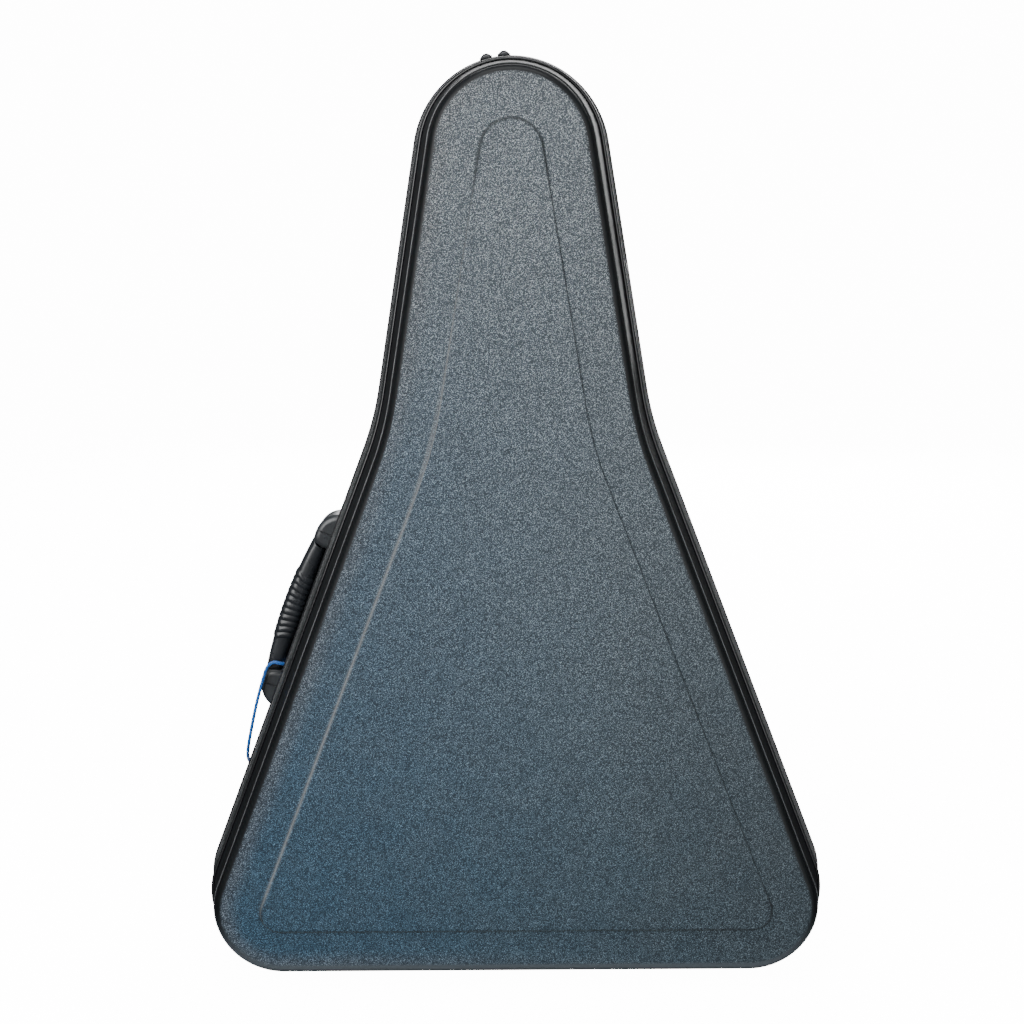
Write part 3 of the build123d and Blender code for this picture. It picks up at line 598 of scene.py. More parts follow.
def painted_step_light_and_shade(tree, colour, x, z, depth, inside):
    """The contour round the raised field, painted with light and shade: the step's tone lighter where
    it faces left and dark elsewhere, a pale line at the left as a painted highlight, dark ends as
    painted shade.
    """
    step_band = times(
        tree, smooth_step(tree, depth, (PANEL_LEVEL + 0.02) * MM, (PANEL_LEVEL + 0.25) * MM),
        minus(tree, 1.0, smooth_step(
            tree, depth, (PANEL_LEVEL + 1.75) * MM, (PANEL_LEVEL + 1.98) * MM)))
    facing, _, _ = parts_of(tree, node(tree, "ShaderNodeTexCoord").outputs["Normal"])
    lit_side = times(tree, smooth_step(tree, facing, -0.05, -0.4), smooth_step(tree, z, 0.66, 0.5))
    # The step's tone follows which way it faces: painted light and shade.
    step_painted_tone = mix_colour(tree, lit_side, (0.012, 0.014, 0.015), (0.2, 0.2, 0.195))
    colour = mix_colour(tree, times(tree, step_band, 0.45), colour, step_painted_tone)
    off_step = calc(tree, "ABSOLUTE", minus(tree, inside, FIELD_INSET * MM))
    # A pale line along the contour's left: a painted highlight.
    leftward = times(tree, smooth_step(tree, x, -0.02, -0.05), smooth_step(tree, z, 0.6, 0.4))
    pale_highlight = times(tree, smooth_step(tree, off_step, 0.0026, 0.0004), leftward)
    pale_highlight = times(tree, pale_highlight, smooth_step(tree, z, 0.06, 0.09))
    colour = mix_colour(tree, times(tree, pale_highlight, 0.2), colour, (0.34, 0.34, 0.33))
    # Dark lines at the contour's top and bottom: painted shade.
    shaded_ends = plus(tree, smooth_step(tree, z, 0.09, 0.065), smooth_step(tree, z, 0.62, 0.66))
    dark = times(tree, smooth_step(tree, off_step, 0.0022, 0.0006), shaded_ends)
    return mix_colour(tree, times(tree, dark, 0.6), colour, (0.012, 0.015, 0.017))


def shell_material():
    """Thermoformed ABS: speckled haircell panels whose specks are painted glints over painted light
    and shade, a stretched smooth rim with a painted reflection low down, and darker sides darkened
    with painted shade.
    """
    material, tree, place = new_material("haircell_abs", Specular_IOR_Level=0.22)
    x, y, z = parts_of(tree, place)
    turned = turned_place(tree)
    depth = calc(tree, "ABSOLUTE", y)
    inside = rim_distance(tree, x, z)
    low_rim = minus(tree, 1.0, smooth_step(tree, z, 0.02, 0.07))
    low_widening = times(tree, low_rim, 0.0025)
    panel = times(
        tree, smooth_step(tree, depth, (PANEL_LEVEL - 0.75) * MM, (PANEL_LEVEL - 0.25) * MM),
        smooth_step(tree, minus(tree, inside, low_widening), 0.0045, 0.0085))
    wall = times(tree, smooth_step(tree, y, -0.002, 0.004),
                 minus(tree, 1.0, smooth_step(tree, depth, 0.060, 0.068)))

    grain = noise(tree, turned, 1650.0, 1.0, 0.6)
    crowns = minus(tree, 1.0, cells(tree, turned, 1150.0))
    rough_skin = plus(tree, times(tree, crowns, 0.45), times(tree, grain, 1.1))
    # The grain's crowns are painted light: a real grain with painted glints on its crowns.
    specks = smooth_step(tree, rough_skin, 0.76, 1.06)
    speck_glint_tone = mix_colour(tree, specks, (0.3, 0.32, 0.34), (3.1, 3.0, 2.9))
    ground = panel_tone_and_painted_light(tree, turned, x, z, inside)
    speckled = mix_colour(tree, 1.0, ground, speck_glint_tone, "MULTIPLY")
    speckled = painted_step_light_and_shade(tree, speckled, x, z, depth, inside)

    rim_tone = tinted(tree, (0.004, 0.005, 0.006), turned)
    # Lighter and bluer along the low rim: a painted reflection.
    rim_tone = mix_colour(tree, low_rim, rim_tone, (0.06, 0.072, 0.082))
    # The sides are much darker than the panels: painted shade, with the same grain specks.
    shaded_wall_tone = mix_colour(tree, specks, (0.008, 0.009, 0.01), (0.036, 0.04, 0.043))
    colour = mix_colour(tree, panel, mix_colour(tree, wall, rim_tone, shaded_wall_tone), speckled)

    rough_panel = rescale(tree, grain, 0.3, 0.7, 0.66, 0.5)
    smears = rescale(tree, noise(tree, turned, 14.0, 5.0, 0.65), 0.35, 0.7, 0.32, 0.46)
    rough = mix_value(tree, panel, mix_value(tree, wall, smears, 0.42), rough_panel)
    amount = plus(tree, times(tree, panel, 0.9), times(tree, wall, 0.6))
    ripple = times(tree, noise(tree, turned, 9.0, 2.0), 1.6)
    normal = bump(tree, plus(tree, times(tree, rough_skin, amount), ripple), 0.00035, 0.8)
    return dress(material, colour, rough, normal)


def moulding_material(name, colour, roughness, spread=0.3):
    """Smooth glossy black moulding with faint drawing lines and handling marks."""
    material, tree, place = new_material(name, Specular_IOR_Level=0.4, Coat_Weight=0.15,
                                         Coat_Roughness=0.12)
    marks = noise(tree, place, 160.0, 5.0, 0.7)
    rough = rescale(tree, marks, 0.3, 0.75, roughness * 0.8, roughness * 1.5)
    normal = bump(tree, noise(tree, place, 420.0, 2.0), 0.00004, 0.5)
    return dress(material, tinted(tree, colour, place, spread), rough, normal)


def weave_height(tree, pitch, slant):
    """A twill weave from the piece's own lengths: raised floats, and the gaps between them."""
    uv = node(tree, "ShaderNodeUVMap", uv_map="along").outputs["UV"]
    u, v, _ = parts_of(tree, uv)
    along = times(tree, u, math.pi / pitch)
    across = times(tree, v, math.pi / pitch)
    skewed = plus(tree, along, times(tree, across, slant))
    warp = calc(tree, "ABSOLUTE", calc(tree, "SINE", skewed))
    weft = calc(tree, "ABSOLUTE", calc(tree, "SINE", across))
    return times(tree, calc(tree, "POWER", warp, 0.7), plus(tree, weft, 0.35))


def woven_material(name, dark, light, pitch, slant, roughness):
    """Woven polyester: twill floats with painted shade in the gaps between them, loose fibres, a soft
    sheen.
    """
    material, tree, place = new_material(name, roughness, Sheen_Weight=0.12, Sheen_Roughness=0.4)
    weave = weave_height(tree, pitch, slant)
    fibre = noise(tree, place, 2600.0, 2.0)
    height = plus(tree, weave, times(tree, fibre, 0.35))
    # Darker where the weave is low: painted shade in the gaps between floats.
    thread = mix_colour(tree, smooth_step(tree, height, 0.25, 1.25), dark, light)
    drift = rescale(tree, noise(tree, place, 60.0, 3.0), 0.3, 0.7, 0.0, 0.3)
    colour = mix_colour(tree, drift, thread, light)
    return dress(material, colour, None, bump(tree, height, 0.00025, 0.9))


def coil_material():
    """Spun nylon zipper coil, satin, paler on the crowns that rub."""
    material, tree, place = new_material("zipper_coil_nylon", Specular_IOR_Level=0.55)
    wear = smooth_step(tree, noise(tree, place, 90.0, 4.0, 0.65), 0.4, 0.68)
    colour = mix_colour(tree, wear, (0.012, 0.014, 0.015), (0.05, 0.054, 0.058))
    rough = rescale(tree, noise(tree, place, 700.0), 0.3, 0.7, 0.3, 0.5)
    return dress(material, colour, rough)


def thread_material():
    """Twisted sewing thread."""
    material, tree, place = new_material("sewing_thread", 0.6, Sheen_Weight=0.3)
    twist = noise(tree, place, 3000.0, 1.0)
    colour = mix_colour(tree, twist, (0.02, 0.022, 0.025), (0.08, 0.086, 0.092))
    return dress(material, colour, None, bump(tree, twist, 0.0001, 0.7))


def rubber_material():
    """Matte moulded rubber."""
    material, tree, place = new_material("foot_rubber", Specular_IOR_Level=0.3)
    speck = noise(tree, place, 900.0, 3.0)
    rough = rescale(tree, speck, 0.3, 0.7, 0.75, 0.92)
    colour = tinted(tree, (0.016, 0.016, 0.017), place)
    return dress(material, colour, rough, bump(tree, speck, 0.0001, 0.6))


def handle_material(name, colour, roughness, grain_depth):
    """Moulded handle plastic with a fine spark texture, polished where it is held."""
    material, tree, place = new_material(name, Specular_IOR_Level=0.5, Coat_Weight=0.12,
                                         Coat_Roughness=0.3)
    spark = noise(tree, place, 1800.0, 2.0)
    polish = smooth_step(tree, noise(tree, place, 45.0, 3.0), 0.38, 0.66)
    rough = mix_value(tree, polish, roughness, roughness * 0.72)
    tone = tinted(tree, colour, place, 0.2, 70.0)
    return dress(material, tone, rough, bump(tree, spark, grain_depth, 0.7))


def steel_material():
    """Brushed steel with fine scratches along the part."""
    material, tree, place = new_material("brushed_steel", 0.35, 1.0)
    stretched = node(tree, "ShaderNodeMapping", {"Vector": place, "Scale": (1.0, 1.0, 0.06)})
    scratch = noise(tree, stretched.outputs[0], 2400.0, 3.0)
    colour = mix_colour(tree, scratch, (0.42, 0.43, 0.45), (0.62, 0.63, 0.65))
    rough = rescale(tree, scratch, 0.3, 0.7, 0.28, 0.45)
    return dress(material, colour, rough, bump(tree, scratch, 0.00003, 0.5))


def slider_material():
    """Black painted zinc with the metal starting to show on the high spots."""
    material, tree, place = new_material("painted_zinc", Specular_IOR_Level=0.6)
    chips = smooth_step(tree, noise(tree, place, 700.0, 4.0, 0.7), 0.6, 0.68)
    colour = mix_colour(tree, chips, (0.022, 0.024, 0.027), (0.32, 0.32, 0.33))
    rough = mix_value(tree, chips, 0.28, 0.4)
    return dress(material, colour, rough, bump(tree, noise(tree, place, 500.0), 0.00005, 0.5))


def cord_material():
    """Blue polyester braid: lighter crowns, darker crossings painted as shade, a few fleck threads.
    """
    material, tree, place = new_material("blue_braid", 0.55, Sheen_Weight=0.4, Sheen_Roughness=0.35)
    uv = node(tree, "ShaderNodeUVMap", uv_map="along").outputs["UV"]
    u, v, _ = parts_of(tree, uv)
    wind = times(tree, u, 2 * math.pi / (BRAID_LAY * CORD_RADIUS))
    turn = times(tree, v, 1 / CORD_RADIUS)
    ridges = []
    for way in (1.0, -1.0):
        phase = plus(tree, turn, times(tree, wind, way))
        ridges.append(calc(tree, "ABSOLUTE", calc(tree, "SINE", times(tree, phase, 2.0))))
    crown = calc(tree, "MAXIMUM", ridges[0], ridges[1])
    fibre = noise(tree, place, 3500.0, 2.0)
    # Lighter on the strands' crowns, darker where they cross: painted shade at the crossings.
    raised = smooth_step(tree, crown, 0.4, 1.0)
    colour = mix_colour(tree, raised, (0.003, 0.035, 0.16), (0.008, 0.12, 0.48))
    flecks = smooth_step(tree, noise(tree, place, 650.0, 1.0), 0.58, 0.64)
    colour = mix_colour(tree, times(tree, flecks, 0.45), colour, (0.08, 0.3, 0.8))
    return dress(material, colour, None, bump(tree, fibre, 0.00012, 0.8))


def plush_material():
    """Short navy plush: pile direction patches and a velvet sheen."""
    material, tree, place = new_material("navy_plush", 0.9, Sheen_Weight=0.45, Sheen_Roughness=0.35)
    pile = noise(tree, place, 1500.0, 3.0, 0.7)
    nap = smooth_step(tree, noise(tree, place, 26.0, 4.0, 0.55), 0.36, 0.64)
    ground = mix_colour(tree, nap, (0.012, 0.018, 0.038), (0.034, 0.046, 0.084))
    colour = mix_colour(tree, smooth_step(tree, pile, 0.4, 0.7), ground, (0.05, 0.066, 0.115))
    height = plus(tree, pile, times(tree, nap, 0.8))
    return dress(material, colour, None, bump(tree, height, 0.0006, 0.8))


def foam_material():
    """Open-cell grey foam, with painted shade inside its pores."""
    material, tree, place = new_material("grey_foam", 0.95)
    pores = cells(tree, place, 700.0)
    walls = smooth_step(tree, pores, 0.1, 0.5)
    # Darker inside the pores: painted shade.
    colour = mix_colour(tree, walls, (0.02, 0.02, 0.022), (0.09, 0.09, 0.095))
    return dress(material, colour, None, bump(tree, pores, 0.0004, 0.9))


def tag_material():
    """Off-white card laminate with slight scuffs."""
    material, tree, place = new_material("card_laminate", 0.4, Coat_Weight=0.3)
    scuffs = smooth_step(tree, noise(tree, place, 120.0, 6.0, 0.75), 0.55, 0.7)
    colour = mix_colour(tree, times(tree, scuffs, 0.35), (0.8, 0.81, 0.79), (0.55, 0.55, 0.53))
    rough = mix_value(tree, scuffs, 0.32, 0.6)
    return dress(material, colour, rough, bump(tree, noise(tree, place, 260.0, 3.0), 0.00006, 0.5))


def brass_material():
    """Pressed brass, a little tarnished."""
    material, tree, place = new_material("pressed_brass", 0.3, 1.0)
    tarnish = smooth_step(tree, noise(tree, place, 300.0, 4.0), 0.42, 0.7)
    colour = mix_colour(tree, tarnish, (0.72, 0.53, 0.24), (0.32, 0.22, 0.1))
    return dress(material, colour, mix_value(tree, tarnish, 0.22, 0.5))


MATERIALS = {
    "shell": shell_material(),
    "trim": moulding_material("gloss_moulding", (0.01, 0.011, 0.012), 0.2),
    # The bead is painted lighter than the black trim: a painted highlight on a glossy black bead.
    "bead": moulding_material("polished_bead", (0.07, 0.074, 0.077), 0.24),
    "tape": woven_material(
        "zipper_tape_weave", (0.004, 0.005, 0.0055), (0.022, 0.025, 0.026), 0.0009, 0.5, 0.75),
    "coil": coil_material(),
    "thread": thread_material(),
    "webbing": woven_material(
        "hinge_webbing", (0.004, 0.0045, 0.005), (0.034, 0.037, 0.04), 0.0016, 1.0, 0.7),
    "rubber": rubber_material(),
    "cap": handle_material("cap_plastic", (0.022, 0.025, 0.028), 0.38, 0.00006),
    "grip": handle_material("grip_rubber", (0.009, 0.011, 0.014), 0.32, 0.00005),
    "steel": steel_material(),
    "foam": foam_material(),
    "plush": plush_material(),
    "slider_metal": slider_material(),
    "cord": cord_material(),
    "tag": tag_material(),
    "brass": brass_material(),
}


def finish_piece(piece, material, body, replaces=()):
    """Gives a new piece its material and its body, and hides the CAD nodes it stands for."""
    piece.data.materials.clear()
    piece.data.materials.append(MATERIALS[material])
    if body:
        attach(piece, body)
    if replaces:
        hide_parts(*replaces)


for row in frame["record"]["subparts"]:
    cad_node = nodes[row["node"]]
    cad_node.data.materials.clear()
    cad_node.data.materials.append(MATERIALS[row["material_slot"]])
for cord_part in (cord_piece, knot_piece):
    cord_part.data.materials.append(MATERIALS["cord"])


# ---------------- rim bead and piping
def arch(level, half_width, rise, sink, sides=10):
    """A rounded moulding's section on the case's side, as (level, growth) points."""
    ground = side_growth(level)
    points = []
    for step in range(sides + 1):
        turn = math.pi * step / sides
        place = level + half_width * math.cos(turn)
        points.append((place, side_growth(place) + rise * math.sin(turn) ** 0.8))
    points.append((level - half_width * 0.9, ground - sink))
    points.append((level + half_width * 0.9, ground - sink))
    return points


def circle_section(level, growth, radius, sides=14):
    """A round section, as (level, growth) points."""
    turns = [2 * math.pi * side / sides for side in range(sides)]
    return [(level + radius * math.cos(turn), growth + radius * math.sin(turn)) for turn in turns]


finish_piece(swept("rim_bead", circle_section(RIM_LEVEL, 0.0, 0.75), 4.0), "bead", "lid")
finish_piece(swept("lid_piping_welt", arch(LID_EDGE_LEVEL, 2.2, 2.2, 0.3), 4.0),
             "trim", "lid", replaces=["lid_piping"])
finish_piece(swept("base_piping_welt", arch(BASE_EDGE_LEVEL, 2.2, 1.0, 0.3), 4.0),
             "trim", "base", replaces=["base_piping"])

# ---------------- zipper
COIL_FAR = 3.1  # from the seam's middle to the back of the coil
SEAM_HALF_GAP = 0.6
TAPE_WALL = 0.9
COIL_RISE = 0.8
TOOTH_PITCH = 1.7
open_growth = float(side_growth(SEAM_LEVEL))
whole = lengths_along(open_growth)[-1]
hinge_stretch = tuple(place_at_height(height, open_growth) for height in HINGE_BAND)
zipper_start = hinge_stretch[1]
zipper_end = whole + hinge_stretch[0]
ZIPPER = (zipper_start, zipper_end)
ZIPPER_END_ROOM = 6  # between the hinge band and the first tooth


def strip_section(front, rear, rise, wall, columns):
    """A thin strip on the case's side between two levels, as a closed section."""
    levels = np.linspace(front, rear, columns)
    outer = [(level, side_growth(level) + rise) for level in levels]
    inner = [(level, side_growth(level) + rise - wall) for level in levels[::-1]]
    return outer + inner


def tooth_shape(way):
    """One slanted loop of zipper coil, reaching from the seam to the back of the coil."""
    inner = SEAM_LEVEL + way * (SEAM_HALF_GAP - 0.35)
    outer = SEAM_LEVEL + way * COIL_FAR
    stations = []
    for share, size in ((0.0, 0.45), (0.12, 0.9), (0.3, 1.0), (0.78, 1.0), (0.94, 0.75), (1.0, 0.3)):
        level = inner + (outer - inner) * share
        slant = 0.9 * (share - 0.5) * way
        stations.append(((slant, -0.1, level), (0.62 * size, 0, 0), (0, 0.86 * size, 0)))
    return tube_shape(stations, 8)


for way, body, tape_levels, nodes_replaced in (
    (1, "lid", (LID_EDGE_LEVEL, SEAM_LEVEL + SEAM_HALF_GAP), ("lid_zipper_tape", "lid_zipper_coil")),
    (-1, "base", (SEAM_LEVEL - SEAM_HALF_GAP, BASE_EDGE_LEVEL),
     ("base_zipper_tape", "base_zipper_coil")),
):
    tape = swept(f"{body}_tape_weave", strip_section(*tape_levels, 0.0, TAPE_WALL, 9), 4.0, ZIPPER)
    finish_piece(tape, "tape", body, replaces=nodes_replaced[:1])
    phase = TOOTH_PITCH / 2 if way < 0 else 0.0
    count = int((zipper_end - zipper_start - 2 * ZIPPER_END_ROOM) / TOOTH_PITCH)
    places = zipper_start + ZIPPER_END_ROOM + phase + TOOTH_PITCH * np.arange(count)
    template, template_faces = tooth_shape(way)
    teeth = copies_along(f"{body}_coil_teeth", template, template_faces, places, SEAM_LEVEL)
    finish_piece(teeth, "coil", body, replaces=nodes_replaced[1:])


# Each slider's place in degrees from the head's top, and the way its pull lies.
SLIDERS = {"left": (-14.5, -1), "right": (-4.0, 1)}
PLATE_OVER_COIL = 1.25  # clearance 0.35 and the plate's 0.9
SLIDER_PLATE_RISE = float(side_growth(SEAM_LEVEL - COIL_FAR)) + COIL_RISE + PLATE_OVER_COIL
CROWN_HALF_LENGTH = 4.2
CROWN_HEIGHT = 2.9
CROWN_HALF_WIDTH = 4.3
PULL_REACH = 9.0
PULL_DROP = 3.0
PULL_PIN_RISE = 1.4
PULL_HALF_WALL = 0.55
PULL_HALF_WIDTH = 2.4


def over_head(turn, growth, level):
    """A point over the head's arc, in metres; turn is in degrees from its top."""
    reach = HEAD_RADIUS + growth
    centre = RIM_BOTTOM + RIM_LENGTH - HEAD_RADIUS
    return Vector((reach * math.sin(math.radians(turn)), -level,
                   centre + reach * math.cos(math.radians(turn)))) * MM


def head_tube(name, stations):
    """An oval tube over the head's arc: stations are (turn, growth, half height, half width)."""
    rings = []
    for turn, growth, half_height, half_width in stations:
        centre = over_head(turn, growth, SEAM_LEVEL)
        rings.append((centre, over_head(turn, growth + half_height, SEAM_LEVEL) - centre,
                      Vector((0, half_width * MM, 0))))
    return new_piece(name, *tube_shape(rings, 16))


for side_name, (angle, way) in SLIDERS.items():
    per_mm = math.degrees(1 / (HEAD_RADIUS + SLIDER_PLATE_RISE))
    crown = []
    for step in range(13):
        along = CROWN_HALF_LENGTH * (step / 6 - 1)
        bulge = math.sqrt(max(0.0, 1 - (along / (CROWN_HALF_LENGTH + 0.05)) ** 2))
        crown.append((angle + along * per_mm, SLIDER_PLATE_RISE - 0.5,
                      0.15 + CROWN_HEIGHT * bulge, 0.6 + CROWN_HALF_WIDTH * bulge))
    finish_piece(head_tube(f"slider_{side_name}_crown", crown), "slider_metal", f"slider_{side_name}")
    tab = []
    for step in range(15):
        share = step / 14
        drop = PULL_DROP * min(1.0, 1.6 * share) ** 1.3
        end = math.sqrt(max(0.02, 1 - max(0.0, (share - 0.82) / 0.18) ** 2))
        tab.append((angle + way * PULL_REACH * share * per_mm,
                    SLIDER_PLATE_RISE + PULL_PIN_RISE - drop,
                    PULL_HALF_WALL * end, PULL_HALF_WIDTH * end))
    finish_piece(head_tube(f"pull_{side_name}_tab", tab), "slider_metal", f"pull_{side_name}",
                 replaces=[f"pull_{side_name}"])


def stitch_row(name, level, body, stretch, pitch=3.4):
    """A row of short stitches along the case."""
    template, template_faces = tube_shape([
        ((-1.25, -0.05, level), (0, 0.08, 0), (0, 0, 0.1)),
        ((-0.9, 0.1, level), (0, 0.26, 0), (0, 0, 0.3)),
        ((0.9, 0.1, level), (0, 0.26, 0), (0, 0, 0.3)),
        ((1.25, -0.05, level), (0, 0.08, 0), (0, 0, 0.1)),
    ], 6)
    count = int((stretch[1] - stretch[0]) / pitch)
    places = stretch[0] + pitch * (np.arange(count) + 0.5)
    row = copies_along(name, template, template_faces, places, level)
    finish_piece(row, "thread", body)


stitch_row("lid_tape_stitches", LID_EDGE_LEVEL - 4.0, "lid", ZIPPER)
stitch_row("base_tape_stitches", BASE_EDGE_LEVEL + 4.0, "base", ZIPPER)


# ---------------- woven hinge band
def hinge_section(columns=31):
    """The hinge band's section: down on the shells, and raised a little between them."""
    levels = np.linspace(LID_EDGE_LEVEL - 0.2, BASE_EDGE_LEVEL + 0.2, columns)
    outer = []
    for level in levels:
        share = (level - BASE_EDGE_LEVEL) / (LID_EDGE_LEVEL - BASE_EDGE_LEVEL)
        lift = 0.7 * min(1.0, 6 * math.sin(math.pi * share))
        outer.append((level, side_growth(level) + lift))
    inner = [(level, growth - 1.3) for level, growth in outer[::-1]]
    return outer + inner


hinge_band = swept("hinge_band_webbing", hinge_section(), 3.0, hinge_stretch)
finish_piece(hinge_band, "webbing", None, replaces=["hinge_band_lid", "hinge_band_base"])
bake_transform(hinge_band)

# ---------------- handle grip
HANDLE_HEIGHT = 291.0
HANDLE_LEVEL = -31.0
GRIP_END = 63.0
GRIP_END_RISE = 18.5
GRIP_RISE = 23.5
GRIP_GAP = 5.0
GRIP_HALF_WIDTH = 14.0
CAP_NOSE = (55.2, 65.2)  # where the grip ends, at the cap's nose and at its peak
CAP_NOSE_RISE = 7.0
RIB_COUNT = 11
RIB_PITCH = 5.6
RIB_RISE = 0.85
GRIP_SQUARENESS = 0.62  # 1 is an ellipse, 0 a rectangle


def handle_place(along, out, rear):
    """A point in the handle's own directions, in mm, as a point of the row frame."""
    rise = (HANDLE_HEIGHT - RIM_BOTTOM) * math.tan(FLANK_ANGLE)
    foot = Vector((rise - FOOT_HALF_WIDTH, -HANDLE_LEVEL, HANDLE_HEIGHT))
    foot += FLANK_OUT * float(side_growth(HANDLE_LEVEL))
    return (foot + FLANK_UP * along + FLANK_OUT * out + Vector((0, rear, 0))) * MM


def grip_end_at(out):
    """How far the grip reaches at a height above the wall, where the cap's nose lies in its end."""
    share = min(1.0, max(0.0, (out - CAP_NOSE_RISE) / (GRIP_END_RISE - CAP_NOSE_RISE)))
    nose, peak = CAP_NOSE
    return min(GRIP_END, peak - (peak - nose) * math.sqrt(1 - share**2))


def grip_piece():
    """The bowed grip with its cushioned ribs, and hollow seats in both ends for the caps' noses."""
    rings = 241
    sides = 44
    vertices = []
    half_ribs = (RIB_COUNT - 1) / 2 * RIB_PITCH
    even = [2 * ring / (rings - 1) - 1 for ring in range(rings)]
    places = [math.sin(math.pi / 2 * place) * 0.3 + 0.7 * place for place in even]
    closing = [0.985, 0.94, 0.8, 0.6, 0.4, 0.2, 0.02]
    places = [-1.0] * len(closing) + places + [1.0] * len(closing)
    shares = closing[::-1] + [1.0] * rings + closing
    for place, share in zip(places, shares):
        along = place * GRIP_END
        top = GRIP_END_RISE + (GRIP_RISE - GRIP_END_RISE) * (1 - place**2)
        nearest = round((along + half_ribs) / RIB_PITCH) * RIB_PITCH - half_ribs
        ribbed = abs(nearest) <= half_ribs + 0.1
        crest = math.cos(math.pi * (along - nearest) / RIB_PITCH)
        rib = RIB_RISE * max(0.0, crest) ** 0.55 if ribbed else 0.0
        rounding = 1.0 - 0.05 * max(0.0, (abs(place) - 0.975) / 0.025) ** 2
        middle = (top + GRIP_GAP) / 2
        height = ((top - GRIP_GAP) / 2 * rounding + rib) * share
        width = (GRIP_HALF_WIDTH * rounding + rib) * share
        for side in range(sides):
            turn = 2 * math.pi * side / sides
            cosine, sine = math.cos(turn), math.sin(turn)
            out = middle + height * math.copysign(abs(sine) ** GRIP_SQUARENESS, sine)
            rear = width * math.copysign(abs(cosine) ** GRIP_SQUARENESS, cosine)
            reach = grip_end_at(out)
            vertices.append(handle_place(place * reach, out, rear))
    return new_piece("ribbed_grip", vertices, ring_faces(len(places), sides))


finish_piece(grip_piece(), "grip", "handle", replaces=["handle_grip"])


# ---------------- padding
def softened(name, source, voxel, rounds):
    """A soft pad made from a CAD solid: remeshed, with its corners worn round."""
    mesh = source.data.copy()
    pad = bpy.data.objects.new(name, mesh)
    put_in_scene(pad)
    remesh = pad.modifiers.new("remesh", "REMESH")
    remesh.mode = "VOXEL"
    remesh.voxel_size = voxel
    smooth = pad.modifiers.new("smooth", "SMOOTH")
    smooth.factor = 0.5
    smooth.iterations = rounds
    evaluated = pad.evaluated_get(bpy.context.evaluated_depsgraph_get())
    pad.modifiers.clear()
    settled = bpy.data.meshes.new_from_object(evaluated)
    pad.data = settled
    for polygon in settled.polygons:
        polygon.use_smooth = True
    return pad


def settle_pad(name, source_node, voxel, rounds, body, replaces):
    """One padded piece, from its CAD solid to its material and body."""
    pad = softened(name, nodes[source_node], voxel, rounds)
    finish_piece(pad, "plush", body, replaces=replaces)


bpy.context.view_layer.update()
settle_pad("base_padding", "base_foam", 0.0035, 4, "base", ["base_foam", "base_lining"])
settle_pad("lid_padding", "lid_foam", 0.003, 6, "lid", ["lid_foam"])
settle_pad("cradle_pad", "neck_cradle", 0.0015, 6, "base", ["neck_cradle"])
settle_pad("compartment_cover", "compartment_lid", 0.0009, 3, "compartment_lid",
           ["compartment_lid"])

lining_levels = [(59.0, -4.8), (LID_EDGE_LEVEL, 3.7), (21.9, 3.7), (21.9, 2.6), (LID_EDGE_LEVEL, 2.6),
                 (59.0, -5.9)]
lid_wall_lining = swept("lid_wall_lining", lining_levels, 4.0)
finish_piece(lid_wall_lining, "plush", "lid", replaces=["lid_lining"])


def tab_piece():
    """The compartment's pull tab: a short webbing strip with a turned end."""
    low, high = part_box("compartment_tab")
    columns, rows = 17, 9
    vertices, uv = [], []
    for face in (0, 1):
        for column in range(columns):
            share = column / (columns - 1)
            x = high.x + (low.x - high.x) * share
            lift = 0.0008 * face + 0.0004 * math.sin(math.pi * share)
            for row in range(rows):
                z = low.z + (high.z - low.z) * row / (rows - 1)
                corner = 0.0024 * max(0.0, share - 0.85) / 0.15
                z = min(max(z, low.z + corner), high.z - corner)
                vertices.append((x, high.y - lift, z))
                uv.append((share * 0.016, 0.014 * row / (rows - 1)))
    faces = []
    size = columns * rows
    for column in range(columns - 1):
        for row in range(rows - 1):
            first = column * rows + row
            quad = (first, first + 1, first + rows + 1, first + rows)
            faces.append(quad)
            faces.append(tuple(size + corner for corner in quad[::-1]))
    border = [column * rows for column in range(columns)]
    border += [(columns - 1) * rows + row for row in range(1, rows)]
    border += [column * rows + rows - 1 for column in range(columns - 2, -1, -1)]
    border += [row for row in range(rows - 2, 0, -1)]
    for first, second in zip(border, border[1:] + border[:1]):
        faces.append((first, second, size + second, size + first))
    tab = new_piece("compartment_pull_tab", vertices, faces)
    write_uv(tab, uv)
    return tab


finish_piece(tab_piece(), "tape", "compartment_lid", replaces=["compartment_tab"])


# ---------------- stage and light
STAGE_REACH = 14.0  # metres
STAGE_GLOW = 14.0
WORLD_STRENGTH = 0.42
LIGHT_TARGET = Vector((0, 0, 0.4))
LIGHTS = [  # name, place, size in metres, power in watts
    ("key", (-1.5, -2.1, 1.5), (2.2, 2.6), 112.0),
    ("top", (0.0, -0.6, 2.6), (1.8, 0.8), 22.0),
    ("fill", (1.8, -2.0, 0.9), (2.4, 2.6), 46.0),
    ("rear", (0.4, 2.6, 1.6), (2.4, 2.4), 80.0),
]


def stage_material():
    """Plain white paper that gives its own even light."""
    material, tree, place = new_material(
        "white_sweep", 0.9, Specular_IOR_Level=0.1, Emission_Color=(1, 1, 1, 1),
        Emission_Strength=STAGE_GLOW)
    mottle = noise(tree, place, 3.0)
    colour = mix_colour(tree, mottle, (0.93, 0.93, 0.93), (0.95, 0.95, 0.95))
    return dress(material, colour)


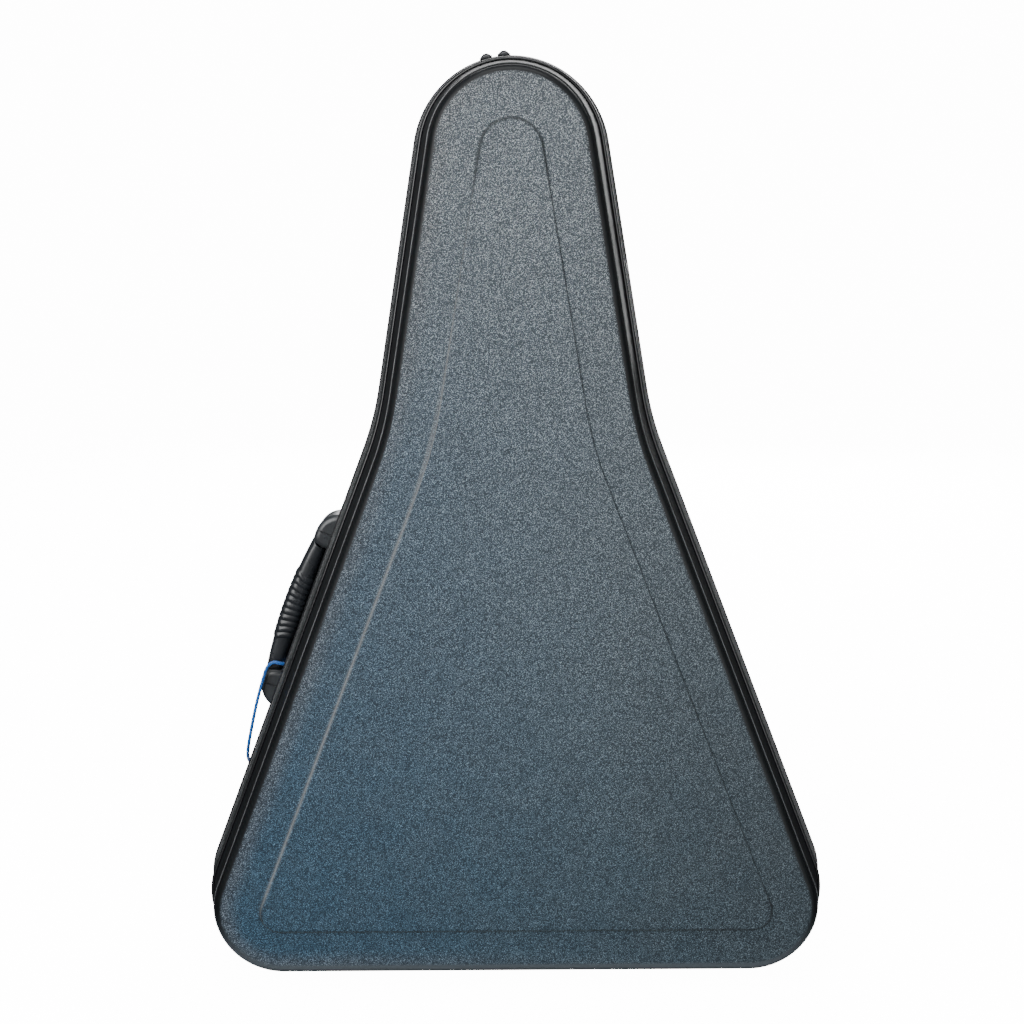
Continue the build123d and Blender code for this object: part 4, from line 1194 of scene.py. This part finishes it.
def set_stage(piece, material):
    """Gives a stage piece its material; it shows behind the case and adds no light to it."""
    piece.data.materials.append(material)
    for kind in ("diffuse", "glossy", "transmission", "shadow"):
        setattr(piece, f"visible_{kind}", False)


def make_stage():
    """A wide round floor under the case and a dome over it."""
    sides = 96
    rings = 12
    material = stage_material()
    turns = [2 * math.pi * side / sides for side in range(sides)]
    rim = [(STAGE_REACH * math.cos(turn), STAGE_REACH * math.sin(turn), 0) for turn in turns]
    set_stage(new_piece("floor", rim, [tuple(range(sides))], smooth=False), material)
    points = []
    for ring in range(rings):
        tilt = math.pi / 2 * ring / rings
        points += [(math.cos(tilt) * x, math.cos(tilt) * y, math.sin(tilt) * STAGE_REACH)
                   for x, y, _ in rim]
    points.append((0, 0, STAGE_REACH))
    top = len(points) - 1
    last = top - sides
    faces = ring_faces(rings, sides, capped=False)
    faces += [(last + side, last + (side + 1) % sides, top) for side in range(sides)]
    set_stage(new_piece("dome", points, faces), material)


def area_light(name, place, size, power):
    """A soft rectangular light aimed at the case."""
    data = bpy.data.lights.new(name, "AREA")
    data.shape = "RECTANGLE"
    data.size, data.size_y = size
    data.energy = power
    light = bpy.data.objects.new(name, data)
    put_in_scene(light)
    light.location = place
    light.rotation_mode = "QUATERNION"
    light.rotation_quaternion = (LIGHT_TARGET - Vector(place)).to_track_quat("-Z", "Y")


def make_world():
    """A dim studio: a pale front, and dark behind and below the case."""
    world = bpy.data.worlds.new("studio")
    bpy.context.scene.world = world
    world.use_nodes = True
    tree = world.node_tree
    background = tree.nodes["Background"]
    _, y, z = parts_of(tree, node(tree, "ShaderNodeTexCoord").outputs["Generated"])
    front = smooth_step(tree, y, 0.35, -0.7)
    raised = smooth_step(tree, z, -0.5, 0.6)
    light = plus(tree, times(tree, front, 0.6), times(tree, raised, 0.4))
    colour = mix_colour(tree, light, (0.06, 0.062, 0.065), (0.97, 0.98, 1.0))
    tree.links.new(colour, background.inputs["Color"])
    background.inputs["Strength"].default_value = WORLD_STRENGTH


make_stage()
make_world()
for light_row in LIGHTS:
    area_light(*light_row)
